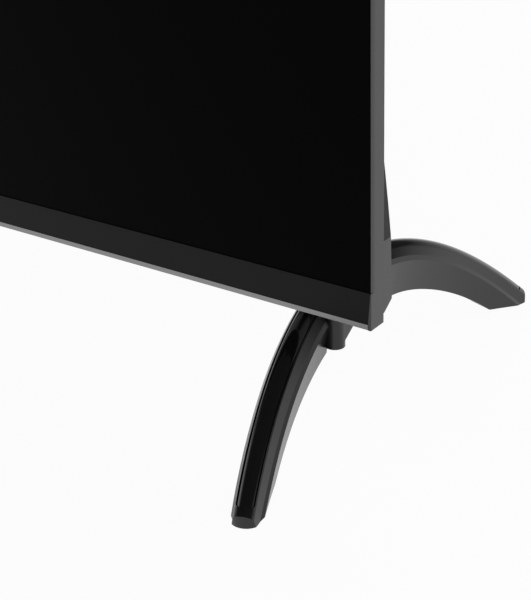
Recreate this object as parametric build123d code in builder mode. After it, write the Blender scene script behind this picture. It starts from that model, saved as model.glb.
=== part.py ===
from build123d import *
import math
import os

# Flat screen television of the 55 inch class on two arched legs
# Millimetres, +Z up. The screen looks towards -Y, +X is to the viewer's right, and the
# origin lies on the floor, midway between the two legs and midway between front and rear feet.

# Whole set
body_width = 1232.0
body_height = 712.0
frame_depth = 10.8
ground_clearance = 68.7
leg_setback = 59.4

# Clearances that several pieces share
touch_gap = 0.1
fit_gap = 0.3
overrun = 5.0

# Frame rails
rail_wall = 1.6
rail_lip = 0.6
rail_round_width = 0.4
rail_round_depth = 2.6
shelf_reach = 3.0
shelf_thickness = 1.2
flange_reach = 5.0
flange_thickness = 1.2
rail_edge_round = 0.4
strip_height = 2.7
strip_thickness = 1.4
upstand_height = 3.0
upstand_thickness = 1.2
key_leg = 20.0
key_width = 1.2

# Chin
chin_top = 18.2
chin_setback = 0.2
chin_top_setback = 0.35
chin_skin = 0.35
chin_thickness = 1.3
chin_end_top = 0.4

# Layers behind the front, in the order in which they lie
panel_setback = 0.8
panel_thickness = 1.3
panel_bottom = 11.8
tape_thickness = 0.3
tape_width = 5.0
mould_reach = 10.8
mould_wall = 1.6
mould_bottom = 4.0
mould_bottom_top = 20.0
diffuser_thickness = 0.3
prism_thickness = 0.25
guide_thickness = 2.0
guide_bottom = 13.9
guide_side_gap = 0.6
reflector_thickness = 0.25
plate_thickness = 0.8
plate_bottom = 4.0

# Light bars along the bottom edge of the light guide
spreader_height = 3.0
led_board_thickness = 1.0
led_board_width = 2.6
led_board_end_gap = 8.0
led_board_middle_gap = 6.0
led_height = 0.8
led_length = 5.6
led_width = 1.6
led_count = 36

# Flexible films and source boards along the lower edge
flex_count = 8
flex_width = 42.0
flex_thickness = 0.2
flex_front_depth = 1.9
flex_rear_depth = 8.3
flex_drop = 2.8
source_board_bottom = 12.0
source_board_height = 10.0
source_board_thickness = 1.0
source_board_length = 440.0
source_board_spacing = 470.0

# Rear cover and lower housing
cover_thickness = 2.0
cover_proud = 0.2
cover_wall = 2.5
band_inset = 1.2
band_depth = 20.0
band_bottom = 3.4
band_bottom_depth = 13.4
band_slope_top = 8.0
band_draft = 1.1
seam_height = 39.0
seam_gap = 0.3
ramp_top = 86.0
ramp_bulge = 0.3
box_depth = 72.0
box_bottom = 8.0
box_base_inset = 8.0
box_rear_inset = 58.0
box_base_top = 560.0
box_rear_top = 470.0
box_round = 5.0
vent_width = 2.6
vent_length = 26.0
vent_pitch = 8.0
vent_count = 26
vent_bank_x = 250.0
vent_height = 440.0
grille_width = 2.2
grille_length = 30.0
grille_pitch = 5.0
grille_count = 14

# Wall mount: a 200 by 200 pattern of M6 bushes
mount_spacing = 200.0
mount_height = 300.0
bush_diameter = 14.0
bush_bore = 5.0
bush_bore_depth = 18.0

# Cover screws
cover_screw_diameter = 2.9
cover_screw_tap = 3.0
cover_screw_hole = 3.4
cover_head_diameter = 5.6
cover_head_height = 1.3
cover_screw_inset = 12.0
cover_screw_bite = 0.7
housing_screw_height = 24.0
housing_screw_inset = 92.4
housing_post_diameter = 9.0
housing_head_recess = 8.0

# Circuit boards
board_thickness = 1.6
standoff_height = 12.6
standoff_diameter = 6.0
board_screw_diameter = 2.9
board_screw_hole = 3.3
board_screw_bore = 3.0
board_screw_head = 5.6
board_screw_head_height = 1.5
board_screw_length = 5.0
board_hole_inset = 7.0
board_end_inset = 145.0
main_board_width = 172.0
main_board_bottom = 112.0
main_board_height = 204.0
heat_sink_size = 46.0
heat_sink_base = 3.0
heat_sink_height = 16.0
heat_sink_fin = 1.4
heat_sink_fin_count = 9
heat_sink_x_share = 0.55
heat_sink_z_share = 0.6
power_board_width = 232.0
power_board_bottom = 112.0
power_board_height = 190.0
transformer_width = 42.0
transformer_height = 36.0
transformer_depth = 27.0
transformer_core = 12.0
transformer_x_share = 0.35
transformer_z_share = 0.62
capacitor_diameter = 25.0
capacitor_length = 40.0
capacitor_spacing = 30.0
capacitor_x_share = 0.72
capacitor_z_share = 0.75
capacitor_round = 1.0
power_sink_length = 60.0
power_sink_thickness = 3.0
power_sink_depth = 30.0
power_sink_x_share = 0.5
power_sink_z_share = 0.35
timing_board_width = 220.0
timing_board_height = 38.0
timing_board_bottom = 48.0
timing_standoff_height = 5.0
wireless_width = 34.0
wireless_height = 22.0
wireless_bottom = 52.0
wireless_x = 300.0
wireless_board = 1.0
wireless_shield_inset = 3.0
wireless_shield_height = 2.2

# Sockets on the main board, set along its left edge
socket_pitch = 21.0
socket_first = 20.0
socket_count = 9
video_count = 3
usb_count = 2
socket_wall = 0.6
video_width = 15.2
video_depth = 5.8
video_length = 12.0
video_tongue = 0.9
video_tongue_width = 10.4
usb_width = 13.7
usb_depth = 6.4
usb_length = 14.0
usb_tongue = 1.9
usb_tongue_width = 11.6
tongue_setback = 1.0
network_width = 16.0
network_depth = 13.5
network_length = 18.0
network_port_width = 11.9
network_port_depth = 8.6
network_port_length = 12.0
aerial_flange = 12.0
aerial_flange_length = 8.0
aerial_barrel = 9.4
aerial_barrel_length = 9.0
aerial_bore = 3.4
optical_width = 10.0
optical_depth = 10.0
optical_length = 12.0
optical_port = 6.0
optical_setback = 1.0
audio_width = 8.0
audio_depth = 7.0
audio_length = 12.0
audio_bore = 3.6
audio_bore_length = 10.0
terminal_thickness = 2.0
terminal_gap = 0.15
terminal_depth_low = 20.0
terminal_depth_high = 38.0
pocket_wall = 2.0
pocket_floor_depth = 18.0
terminal_pocket_width = 84.0
mains_pocket_width = 67.0
mains_pocket_height = 60.0
mains_pocket_lift = 16.0

# Mains inlet
inlet_width = 24.0
inlet_depth = 15.0
inlet_length = 24.0
inlet_wall = 1.6
inlet_recess = 13.0
inlet_pin = 2.4
inlet_pin_length = 10.0
inlet_pin_spacing = 8.6

# Internal leads
ribbon_width = 16.0
ribbon_thickness = 0.5
ribbon_overlap = 8.0
ribbon_lift = 11.0
ribbon_inset = 73.0
harness_diameter = 5.0
harness_bend = 14.0
harness_height = 240.0
harness_plug_length = 10.0
harness_plug_width = 14.0
harness_plug_height = 6.0
harness_plug_inset = 6.0
harness_run_out = 6.0
clip_width = 8.0
clip_wall = 1.4
clip_spacing = 120.0
clip_count = 3
clip_gap = 0.15

# Speakers
speaker_length = 170.0
speaker_end_inset = 131.0
speaker_front_depth = 24.0
speaker_rear_depth = 64.0
speaker_height = 25.0
speaker_wall = 2.0
driver_diameter = 30.0
driver_magnet = 22.0
driver_cone_depth = 8.0
driver_total_depth = 16.0
driver_flange = 35.0
driver_flange_thickness = 1.2
driver_dish_wall = 1.0

# Legs: an arch whose top edge falls away from its middle and whose feet bow outwards
leg_inset = 45.6
leg_apex_rise = 2.0
leg_half_length = 144.0
leg_drop = 77.4
leg_bow = 30.3
leg_bow_power = 1.97
leg_station_count = 13
leg_overlength_share = 1.1
leg_top_width = 12.7
leg_tip_top_width = 9.6
leg_crown = 2.2
leg_tip_crown = 3.1
leg_band_out = 3.5
leg_tip_band_out = 1.3
leg_band_down = 3.3
leg_tip_band_down = 5.7
leg_edge_out = 4.6
leg_tip_edge_out = 2.6
leg_edge_down = 6.0
leg_tip_edge_down = 7.4
leg_sole_width = 14.6
leg_tip_sole_width = 12.3
leg_height_middle = 26.7
leg_height_tip = 16.9
foot_tip_height = 0.2
sole_slope_share = 0.174
sole_bend_y = 128.5
tip_round_radius = 8.0
tip_round_back = 16.0
tip_cut = 60.0
strip_depth = 1.5
strip_border = 0.5
strip_gap = 0.1
strip_end_radius = 5.0
post_inset = 33.2
post_depth = 21.1
post_radius = 5.0
post_bottom = 25.7
post_top = 4.8
lug_end_depth = 35.0
lug_start_drop = 23.1
lug_end_drop = 14.2
lug_inner_inset = 42.0
lug_shelf_inset = 38.0
lug_shelf_drop = 7.0
lug_step_depth = 20.6
housing_rest = 8.0
saddle_front_depth = 30.0
saddle_rear_depth = 52.0
saddle_sink = 3.0
saddle_width = 12.0
leg_screw_diameter = 4.0
leg_screw_hole = 4.5
leg_screw_tap = 4.1
leg_head_diameter = 7.4
leg_head_height = 2.6
leg_head_bore = 8.2
leg_screw_roof = 6.0
saddle_screw_depth = 42.0
pad_thickness = 2.0
pad_width = 5.0
pad_length = 6.0
pad_back_from_tip = 14.0
pad_gap = 0.2

# Leg brackets inside the lower housing
bracket_thickness = 2.0
bracket_left_inset = 66.0
bracket_right_inset = 24.0
bracket_corner_inset = 45.5
bracket_corner_depth = 24.0
bracket_rear_depth = 50.0
bracket_height = 44.0
bracket_nut = 8.0
bracket_nut_height = 5.0

# Sensor housing and power button under the middle of the bottom rail
sensor_width = 34.0
sensor_front_depth = 2.0
sensor_rear_depth = 18.0
sensor_height = 8.0
sensor_wall = 1.4
sensor_lid = 1.4
sensor_round = 3.0
sensor_window_width = 14.0
sensor_window_height = 4.0
sensor_window_x = -8.0
sensor_board_thickness = 1.0
sensor_board_drop = 0.4
switch_size = 6.0
switch_height = 3.0
switch_plunger = 3.2
switch_plunger_height = 0.7
button_x = 8.0
button_diameter = 8.0
button_flange = 10.4
button_flange_height = 0.8
button_proud = 0.9
button_gap = 0.15
button_seat_gap = 0.05

# Planes worked out from the driving sizes
side_x = body_width / 2
front_y = -leg_setback
base_z = ground_clearance
top_z = base_z + body_height
panel_front = front_y + panel_setback
panel_back = panel_front + panel_thickness
shelf_front = panel_back + tape_thickness
shelf_back = shelf_front + shelf_thickness
diffuser_front = shelf_back + touch_gap
prism_front = diffuser_front + diffuser_thickness
guide_front = prism_front + prism_thickness + touch_gap
reflector_front = guide_front + guide_thickness
plate_front = reflector_front + reflector_thickness
plate_back = plate_front + plate_thickness
frame_back = front_y + frame_depth
cover_back = frame_back + cover_proud
cover_front = cover_back - cover_thickness
cover_half = side_x - rail_wall - fit_gap
main_board_left = board_end_inset - side_x
power_board_right = side_x - board_end_inset
speaker_x = side_x - speaker_end_inset - speaker_length / 2
board_front = plate_back + standoff_height
board_back = board_front + board_thickness


def write(piece, name):
    """Label a finished piece and write its STEP file."""
    piece.part.label = name
    export_step(piece.part, f"parts/{name}.step")


def write_pair(piece, name):
    """Write the right-hand piece and its mirror image on the left."""
    write(piece, name + "_right")
    with BuildPart() as left:
        mirror(piece.part, about=Plane.YZ)
    write(left, name + "_left")


def block(x, y, z, mode=Mode.ADD):
    """Add or cut the box between two limits along each axis."""
    with Locations(((x[0] + x[1]) / 2, (y[0] + y[1]) / 2, (z[0] + z[1]) / 2)):
        Box(x[1] - x[0], y[1] - y[0], z[1] - z[0], mode=mode)


def rectangle(x, z):
    """Draw the rectangle between two limits along each axis of the sketch."""
    with Locations(((x[0] + x[1]) / 2, (z[0] + z[1]) / 2)):
        Rectangle(x[1] - x[0], z[1] - z[0])


def upright_plane(y):
    """Plane at a given depth whose own axes are +X and +Z, seen from the front."""
    return Plane(origin=(0, y, 0), x_dir=(1, 0, 0), z_dir=(0, -1, 0))


def pin(x, y, z, radius, mode=Mode.ADD):
    """Add or cut a round bar along Y between two depths."""
    with BuildSketch(upright_plane(y[1])) as section:
        with Locations((x, z)):
            Circle(radius)
    extrude(section.sketch, amount=y[1] - y[0], mode=mode)


def post(x, y, z, radius, mode=Mode.ADD):
    """Add or cut an upright round bar between two heights."""
    with BuildSketch(Plane.XY.offset(z[0])) as section:
        with Locations((x, y)):
            Circle(radius)
    extrude(section.sketch, amount=z[1] - z[0], mode=mode)


def mirrored(low, high):
    """Limits that reach as far to one side of the middle as to the other."""
    return [(low, high), (-high, -low)]


os.makedirs("parts", exist_ok=True)

# Side rails: an outer wall with a softly rounded front edge, a shelf in front for the mould
# frame and a flange behind the back plate. Beside the chin the wall comes right to the front,
# as a strip that widens downwards along the slanted end of the chin.
chin_low = base_z + strip_height + touch_gap
chin_high = base_z + chin_top
chin_end_bottom = rail_wall + touch_gap
shelf_z = (base_z + rail_wall + touch_gap, top_z - rail_wall - touch_gap)
with BuildPart() as side_rail:
    with BuildSketch(Plane.XY.offset(base_z)):
        with BuildLine():
            round_start = (side_x - rail_round_width, panel_front)
            round_end = (side_x, panel_front + rail_round_depth)
            TangentArc(round_end, round_start, tangent=(0, -1))
            Polyline(
                round_end,
                (side_x, frame_back),
                (side_x - rail_wall, frame_back),
                (side_x - rail_wall, shelf_front),
                (side_x - rail_lip, shelf_front),
                (side_x - rail_lip, panel_front),
                round_start,
            )
        make_face()
    extrude(amount=body_height)
    with BuildSketch(upright_plane(panel_front)):
        with BuildLine():
            Polyline(
                (side_x - rail_wall, base_z),
                (side_x, base_z),
                (side_x, chin_high),
                (side_x - chin_end_top + touch_gap, chin_high),
                (side_x - rail_wall, chin_low - touch_gap),
                close=True,
            )
        make_face()
    extrude(amount=panel_setback)
    block(
        (side_x - rail_round_width, side_x),
        (panel_front, panel_front + rail_round_depth),
        (base_z, chin_high),
    )
    block(
        (side_x - rail_wall, side_x),
        (panel_front, shelf_front),
        (base_z, base_z + strip_height),
    )
    front_corner = side_rail.edges().filter_by(Axis.Z).group_by(Axis.Y)[0].sort_by(Axis.X)[-1]
    fillet(front_corner, radius=rail_edge_round)
    block((side_x - shelf_reach, side_x - rail_wall), (shelf_front, shelf_back), shelf_z)
    block(
        (side_x - flange_reach, side_x - rail_wall),
        (plate_back, plate_back + flange_thickness),
        shelf_z,
    )
write_pair(side_rail, "frame_rail")

# Top rail, between the side rails
rail_half = side_x - rail_wall - touch_gap
with BuildPart() as top_rail:
    with BuildSketch(Plane.YZ.offset(-rail_half)):
        with BuildLine():
            round_start = (panel_front, top_z - rail_round_width)
            round_end = (panel_front + rail_round_depth, top_z)
            TangentArc(round_end, round_start, tangent=(-1, 0))
            Polyline(
                round_end,
                (frame_back, top_z),
                (frame_back, top_z - rail_wall),
                (shelf_front, top_z - rail_wall),
                (shelf_front, top_z - rail_lip),
                (panel_front, top_z - rail_lip),
                round_start,
            )
        make_face()
    extrude(amount=rail_half * 2)
    shelf_half = side_x - shelf_reach - touch_gap
    block(
        (-shelf_half, shelf_half),
        (shelf_front, shelf_back),
        (top_z - shelf_reach, top_z - rail_wall),
    )
    flange_half = side_x - flange_reach - touch_gap
    block(
        (-flange_half, flange_half),
        (plate_back, plate_back + flange_thickness),
        (top_z - flange_reach, top_z - rail_wall),
    )
write(top_rail, "frame_rail_top")

# Bottom rail: a floor, the bright strip that shows under the chin, and a low upstand behind
strip_back = front_y + strip_thickness
with BuildPart() as bottom_rail:
    with BuildSketch(Plane.YZ.offset(-rail_half)):
        with BuildLine():
            Polyline(
                (front_y, base_z),
                (frame_back, base_z),
                (frame_back, base_z + upstand_height),
                (frame_back - upstand_thickness, base_z + upstand_height),
                (frame_back - upstand_thickness, base_z + rail_wall),
                (strip_back, base_z + rail_wall),
                (strip_back, base_z + strip_height),
                (front_y, base_z + strip_height),
                close=True,
            )
        make_face()
    extrude(amount=rail_half * 2)
    lower_front = bottom_rail.edges().filter_by(Axis.X).sort_by(Axis.Z)[0:2].sort_by(Axis.Y)[0]
    fillet(lower_front, radius=rail_edge_round)
write(bottom_rail, "frame_rail_bottom")

# Corner keys: small angles that join the rails inside each corner
key_outer_x = side_x - rail_wall - touch_gap
key_y = (shelf_back + touch_gap, plate_front - touch_gap)
key_corners = [
    (base_z + rail_wall + touch_gap, base_z + rail_wall + touch_gap + key_width, 1),
    (top_z - rail_wall - touch_gap - key_width, top_z - rail_wall - touch_gap, -1),
]
with BuildPart() as corner_keys:
    for low_z, high_z, up in key_corners:
        level_x = (key_outer_x - key_leg, key_outer_x)
        rise_x = (key_outer_x - key_width, key_outer_x)
        rise_z = (low_z, low_z + key_leg) if up > 0 else (high_z - key_leg, high_z)
        for low_x, high_x in mirrored(*level_x):
            block((low_x, high_x), key_y, (low_z, high_z))
        for low_x, high_x in mirrored(*rise_x):
            block((low_x, high_x), key_y, rise_z)
write(corner_keys, "corner_keys")

# Chin cover: thick below, thin where it lies over the panel, its ends cut on a slant
chin_front = front_y + chin_setback
chin_top_front = front_y + chin_top_setback
chin_step = base_z + panel_bottom - fit_gap
with BuildPart() as chin_cover:
    with BuildSketch(Plane.YZ.offset(-side_x)):
        with BuildLine():
            Polyline(
                (chin_front, chin_low),
                (chin_front + chin_thickness, chin_low),
                (chin_front + chin_thickness, chin_step),
                (chin_top_front + chin_skin, chin_step),
                (chin_top_front + chin_skin, chin_high),
                (chin_top_front, chin_high),
                close=True,
            )
        make_face()
    extrude(amount=side_x * 2)
    with BuildSketch(upright_plane(front_y + overrun)):
        with BuildLine():
            Polyline(
                (-side_x + chin_end_bottom, chin_low),
                (side_x - chin_end_bottom, chin_low),
                (side_x - chin_end_top, chin_high),
                (-side_x + chin_end_top, chin_high),
                close=True,
            )
        make_face()
    extrude(amount=overrun * 2, mode=Mode.INTERSECT)
write(chin_cover, "chin_cover")

# Screen panel and the tape that holds it to the mould frame
panel_half = side_x - rail_lip - touch_gap
panel_top = top_z - rail_lip - touch_gap
with BuildPart() as lcd_panel:
    block((-panel_half, panel_half), (panel_front, panel_back), (base_z + panel_bottom, panel_top))
write(lcd_panel, "lcd_panel")

tape_outer = (shelf_reach + mould_reach - tape_width) / 2
tape_inner = tape_outer + tape_width
tape_y = (panel_back, shelf_front)
tape_bottom = base_z + panel_bottom + fit_gap
with BuildPart() as panel_tape:
    for low_x, high_x in mirrored(side_x - tape_inner, side_x - tape_outer):
        block((low_x, high_x), tape_y, (tape_bottom, top_z - tape_outer))
    level_tape_x = (-side_x + tape_inner + fit_gap, side_x - tape_inner - fit_gap)
    block(level_tape_x, tape_y, (top_z - tape_inner, top_z - tape_outer))
    block(level_tape_x, tape_y, (tape_bottom, tape_bottom + tape_width))
write(panel_tape, "panel_tape")

# Mould frame: four plastic strips that carry the panel and space it from the back plate
mould_outer = shelf_reach + touch_gap
mould_x = side_x - mould_outer
mould_inner_x = side_x - mould_reach
mould_base = base_z + mould_bottom
mould_y = (shelf_front, shelf_back)
spacer_y = (shelf_back, plate_front)
with BuildPart() as mould_frame:
    for low_x, high_x in mirrored(mould_inner_x, mould_x):
        block((low_x, high_x), mould_y, (mould_base, top_z - mould_outer))
    for low_x, high_x in mirrored(mould_x - mould_wall, mould_x):
        block((low_x, high_x), spacer_y, (mould_base, top_z - mould_outer))
    level_half = mould_inner_x - touch_gap
    spacer_half = mould_x - mould_wall - touch_gap
    block((-level_half, level_half), mould_y, (top_z - mould_reach, top_z - mould_outer))
    block((-level_half, level_half), mould_y, (mould_base, base_z + mould_bottom_top))
    block(
        (-level_half, level_half), spacer_y, (top_z - mould_outer - mould_wall, top_z - mould_outer)
    )
    block((-level_half, level_half), spacer_y, (mould_base, mould_base + mould_wall))
write(mould_frame, "mould_frame")

# Optical layers and the back plate
sheet_half = mould_x - mould_wall - guide_side_gap
sheet_z = (base_z + guide_bottom, top_z - mould_outer - mould_wall - guide_side_gap)
optical_layers = [
    ("diffuser_film", diffuser_front, diffuser_thickness),
    ("prism_film", prism_front, prism_thickness),
    ("light_guide_plate", guide_front, guide_thickness),
    ("reflector_sheet", reflector_front, reflector_thickness),
]
for layer_name, layer_front, layer_thickness in optical_layers:
    with BuildPart() as layer:
        block((-sheet_half, sheet_half), (layer_front, layer_front + layer_thickness), sheet_z)
    write(layer, layer_name)

# Places of the screws: those of the rear cover lie at shares of the body's half width and
# height, those of the lower housing between the speakers and beyond their outer ends
top_screw_shares = [-0.8, -0.4, 0.0, 0.4, 0.8]
side_screw_shares = [0.82, 0.92]
housing_screw_shares = [-0.82, -0.27, 0.27, 0.82]
cover_screw_points = [(share * side_x, top_z - cover_screw_inset) for share in top_screw_shares]
for share in side_screw_shares:
    for side in (-1, 1):
        point = (side * (side_x - cover_screw_inset), base_z + share * body_height)
        cover_screw_points.append(point)
between_speakers = speaker_x - speaker_length / 2
housing_screw_x = [share * between_speakers for share in housing_screw_shares]
housing_screw_x += [housing_screw_inset - side_x, side_x - housing_screw_inset]
housing_screw_points = [(x, base_z + housing_screw_height) for x in housing_screw_x]
mount_points = [
    (x_side * mount_spacing / 2, base_z + mount_height + z_side * mount_spacing / 2)
    for x_side in (-1, 1)
    for z_side in (-1, 1)
]

plate_half = side_x - rail_wall - fit_gap
with BuildPart() as back_plate:
    block(
        (-plate_half, plate_half),
        (plate_front, plate_back),
        (base_z + plate_bottom, top_z - rail_wall - fit_gap),
    )
    for x, z in cover_screw_points + housing_screw_points:
        pin(
            x,
            (plate_front - overrun, plate_back + overrun),
            z,
            cover_screw_tap / 2,
            Mode.SUBTRACT,
        )
write(back_plate, "back_plate")

# Heat spreader, light boards and the row of light sources on them
spreader_top = base_z + guide_bottom - fit_gap - led_height - led_board_thickness
led_board_top = spreader_top + led_board_thickness
led_middle = guide_front + guide_thickness / 2
led_board_middle = (shelf_back + plate_front) / 2
with BuildPart() as led_heat_spreader:
    block(
        (-sheet_half, sheet_half),
        (shelf_back + touch_gap, plate_front),
        (spreader_top - spreader_height, spreader_top),
    )
write(led_heat_spreader, "led_heat_spreader")

led_bar_outer = sheet_half - led_board_end_gap
led_bar_inner = led_board_middle_gap / 2
led_bar_length = led_bar_outer - led_bar_inner
with BuildPart() as led_bars:
    for low_x, high_x in mirrored(led_bar_inner, led_bar_outer):
        block(
            (low_x, high_x),
            (led_board_middle - led_board_width / 2, led_board_middle + led_board_width / 2),
            (spreader_top, led_board_top),
        )
write(led_bars, "led_bars")

led_pitch = led_bar_length / led_count
with BuildPart() as leds:
    for side in (-1, 1):
        row_middle = side * (led_bar_inner + led_bar_outer) / 2
        with Locations((row_middle, led_middle, led_board_top + led_height / 2)):
            with GridLocations(led_pitch, led_pitch, led_count, 1):
                Box(led_length, led_width, led_height)
write(leds, "leds")

# Flexible films: from the panel's lower edge under the back plate and up to the source boards
flex_front = front_y + flex_front_depth
flex_rear = front_y + flex_rear_depth
flex_low = base_z + flex_drop
flex_spacing = source_board_spacing * 2 / flex_count
with BuildPart() as panel_flex_films:
    for index in range(flex_count):
        middle = (index - (flex_count - 1) / 2) * flex_spacing
        half = flex_width / 2
        with BuildSketch(Plane.YZ.offset(middle - half)):
            with BuildLine():
                Polyline(
                    (flex_front, base_z + panel_bottom),
                    (flex_front, flex_low),
                    (flex_rear + flex_thickness, flex_low),
                    (flex_rear + flex_thickness, base_z + source_board_bottom),
                    (flex_rear, base_z + source_board_bottom),
                    (flex_rear, flex_low + flex_thickness),
                    (flex_front + flex_thickness, flex_low + flex_thickness),
                    (flex_front + flex_thickness, base_z + panel_bottom),
                    close=True,
                )
            make_face()
        extrude(amount=flex_width)
write(panel_flex_films, "panel_flex_films")

source_board_y = flex_rear - (source_board_thickness - flex_thickness) / 2
with BuildPart() as source_boards:
    for side in (-1, 1):
        middle = side * source_board_spacing / 2
        block(
            (middle - source_board_length / 2, middle + source_board_length / 2),
            (source_board_y, source_board_y + source_board_thickness),
            (
                base_z + source_board_bottom,
                base_z + source_board_bottom + source_board_height,
            ),
        )
write(source_boards, "source_boards")

# Rear cover and lower housing start as one outer form and one cavity, split at the seam.
# The form is a thin plate inside the rails, a band with a ramp across the full width, and a
# tapered box for the electronics.
side_run = box_rear_inset - box_base_inset
top_run = box_base_top - box_rear_top
box_rise = box_depth - frame_depth - cover_proud
side_stretch = math.hypot(side_run, box_rise) / box_rise
top_stretch = math.hypot(top_run, box_rise) / box_rise
seam_z = base_z + seam_height
band_half = side_x - band_inset
band_back = front_y + band_depth
box_back = front_y + box_depth


def box_section(y, inset):
    """Draw the box's outline at a depth, pulled in by a wall thickness."""
    share = (y - cover_back) / box_rise
    half = side_x - box_base_inset - share * side_run - inset * side_stretch
    high = base_z + box_base_top - share * top_run - inset * top_stretch
    rectangle((-half, half), (base_z + box_bottom + inset, high))


def band_outline(front, inset):
    """Draw the profile of the band and its ramp across Y and Z, pulled in by a wall."""
    seam_back = band_back - band_draft - inset
    ramp_end = (cover_back - inset, base_z + ramp_top)
    ramp_start = (seam_back, seam_z)
    ramp_middle = (
        (ramp_end[0] + ramp_start[0]) / 2 + ramp_bulge,
        (ramp_end[1] + ramp_start[1]) / 2,
    )
    ThreePointArc(ramp_start, ramp_middle, ramp_end)
    Polyline(
        ramp_end,
        (front, base_z + ramp_top),
        (front, base_z + band_bottom + inset),
        (front_y + band_bottom_depth - inset / 2, base_z + band_bottom + inset),
        (band_back - inset, base_z + band_slope_top + inset),
        ramp_start,
    )


with BuildPart() as cover_form:
    block(
        (-cover_half, cover_half),
        (cover_front, cover_back),
        (base_z + upstand_height + fit_gap, top_z - rail_wall - fit_gap),
    )
    with BuildSketch(upright_plane(cover_back)):
        box_section(cover_back, 0)
    with BuildSketch(upright_plane(box_back)):
        box_section(box_back, 0)
    loft()
    box_edges = cover_form.edges().group_by(Axis.Y)[-1]
    fillet(box_edges, radius=box_round)
    with BuildSketch(Plane.YZ.offset(-band_half)):
        with BuildLine():
            band_outline(frame_back + touch_gap, 0)
        make_face()
    extrude(amount=band_half * 2)

# Pockets for plugs, open at the back: one for the socket row, one for the mains lead
terminal_x = main_board_left - terminal_gap - terminal_thickness
mains_x = power_board_right + terminal_gap + terminal_thickness
terminal_pocket = (
    (terminal_x - terminal_pocket_width, terminal_x),
    (front_y + pocket_floor_depth, box_back + overrun),
    (base_z + main_board_bottom, base_z + main_board_bottom + main_board_height),
)
mains_pocket_low = base_z + power_board_bottom + mains_pocket_lift
mains_pocket = (
    (mains_x, mains_x + mains_pocket_width),
    (front_y + pocket_floor_depth, box_back + overrun),
    (mains_pocket_low, mains_pocket_low + mains_pocket_height),
)


def widened(limits, amount):
    """Limits of a block grown by one amount on every side."""
    return [(low - amount, high + amount) for low, high in limits]


with BuildPart() as cover_cavity:
    with BuildSketch(upright_plane(cover_front - touch_gap)):
        box_section(cover_front - touch_gap, cover_wall)
    with BuildSketch(upright_plane(box_back - cover_wall)):
        box_section(box_back - cover_wall, cover_wall)
    loft()
    cavity_half = cover_half - cover_wall
    with BuildSketch(Plane.YZ.offset(-cavity_half)):
        with BuildLine():
            band_outline(cover_front - touch_gap, cover_thickness)
        make_face()
    extrude(amount=cavity_half * 2)
    block(*widened(terminal_pocket, pocket_wall), mode=Mode.SUBTRACT)
    block(*widened(mains_pocket, pocket_wall), mode=Mode.SUBTRACT)

# Middle line of the legs, and the two places on each leg where a screw goes up into the set
def leg_line(share):
    """Point on the middle of a leg's top edge at a share of its half length."""
    return (
        side_x - leg_inset + leg_bow * abs(share) ** leg_bow_power,
        share * leg_half_length,
        base_z
        + leg_apex_rise
        - leg_drop * share**2,
    )


speaker_middle = (speaker_front_depth + speaker_rear_depth) / 2
saddle_share = (front_y + saddle_screw_depth) / leg_half_length
leg_screw_points = [
    (side_x - post_inset, front_y + post_depth),
    (leg_line(saddle_share)[0], front_y + saddle_screw_depth),
]
far = body_width * 2
upper_space = ((-far, far), (-far, far), (seam_z + seam_gap, far))
lower_space = ((-far, far), (-far, far), (-far, seam_z))
with BuildPart() as rear_cover:
    add(cover_form.part)
    add(cover_cavity.part, mode=Mode.SUBTRACT)
    block(*terminal_pocket, mode=Mode.SUBTRACT)
    block(*mains_pocket, mode=Mode.SUBTRACT)
    block(*upper_space, mode=Mode.INTERSECT)
    block(
        (terminal_x - overrun, terminal_x + pocket_wall + overrun),
        (front_y + terminal_depth_low, front_y + terminal_depth_high),
        widened(terminal_pocket, -touch_gap)[2],
        mode=Mode.SUBTRACT,
    )
    inlet_middle_z = (mains_pocket[2][0] + mains_pocket[2][1]) / 2
    inlet_middle_y = board_back + inlet_depth / 2
    block(
        (mains_x - pocket_wall - overrun, mains_x + overrun),
        (board_back - fit_gap, board_back + inlet_depth + fit_gap),
        (
            inlet_middle_z - inlet_width / 2 - fit_gap,
            inlet_middle_z + inlet_width / 2 + fit_gap,
        ),
        mode=Mode.SUBTRACT,
    )
    for x, z in cover_screw_points:
        pin(x, (cover_front - overrun, cover_back + overrun), z, cover_screw_hole / 2, Mode.SUBTRACT)
    for x, z in mount_points:
        pin(
            x,
            (box_back - cover_wall - overrun, box_back + overrun),
            z,
            bush_diameter / 2 + fit_gap,
            Mode.SUBTRACT,
        )
    with BuildSketch(upright_plane(box_back + overrun)):
        for side in (-1, 1):
            with Locations((side * vent_bank_x, base_z + vent_height)):
                with GridLocations(vent_pitch, vent_pitch, vent_count, 1):
                    SlotOverall(vent_length, vent_width, rotation=90)
    extrude(amount=cover_wall + overrun * 2, mode=Mode.SUBTRACT)
write(rear_cover, "rear_cover")

with BuildPart() as lower_housing:
    add(cover_form.part)
    add(cover_cavity.part, mode=Mode.SUBTRACT)
    block(*lower_space, mode=Mode.INTERSECT)
    for x, z in housing_screw_points:
        pin(x, (cover_front, box_back - cover_wall / 2), z, housing_post_diameter / 2)
        pin(x, (cover_front - overrun, band_back + overrun), z, cover_screw_hole / 2, Mode.SUBTRACT)
        pin(
            x,
            (band_back - housing_head_recess, box_back + overrun),
            z,
            cover_head_diameter / 2 + fit_gap,
            Mode.SUBTRACT,
        )
    for x, y in leg_screw_points:
        for side_x_place in (-x, x):
            post(
                side_x_place,
                y,
                (base_z, base_z + box_bottom + cover_wall + overrun / 2),
                leg_screw_hole / 2,
                Mode.SUBTRACT,
            )
    with BuildSketch(Plane.XY.offset(base_z)):
        for side in (-1, 1):
            with Locations((side * speaker_x, front_y + speaker_middle)):
                with GridLocations(grille_pitch, grille_pitch, grille_count, 1):
                    SlotOverall(grille_length, grille_width, rotation=90)
    extrude(amount=box_bottom + cover_wall + overrun / 2, mode=Mode.SUBTRACT)
write(lower_housing, "lower_housing")


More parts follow.
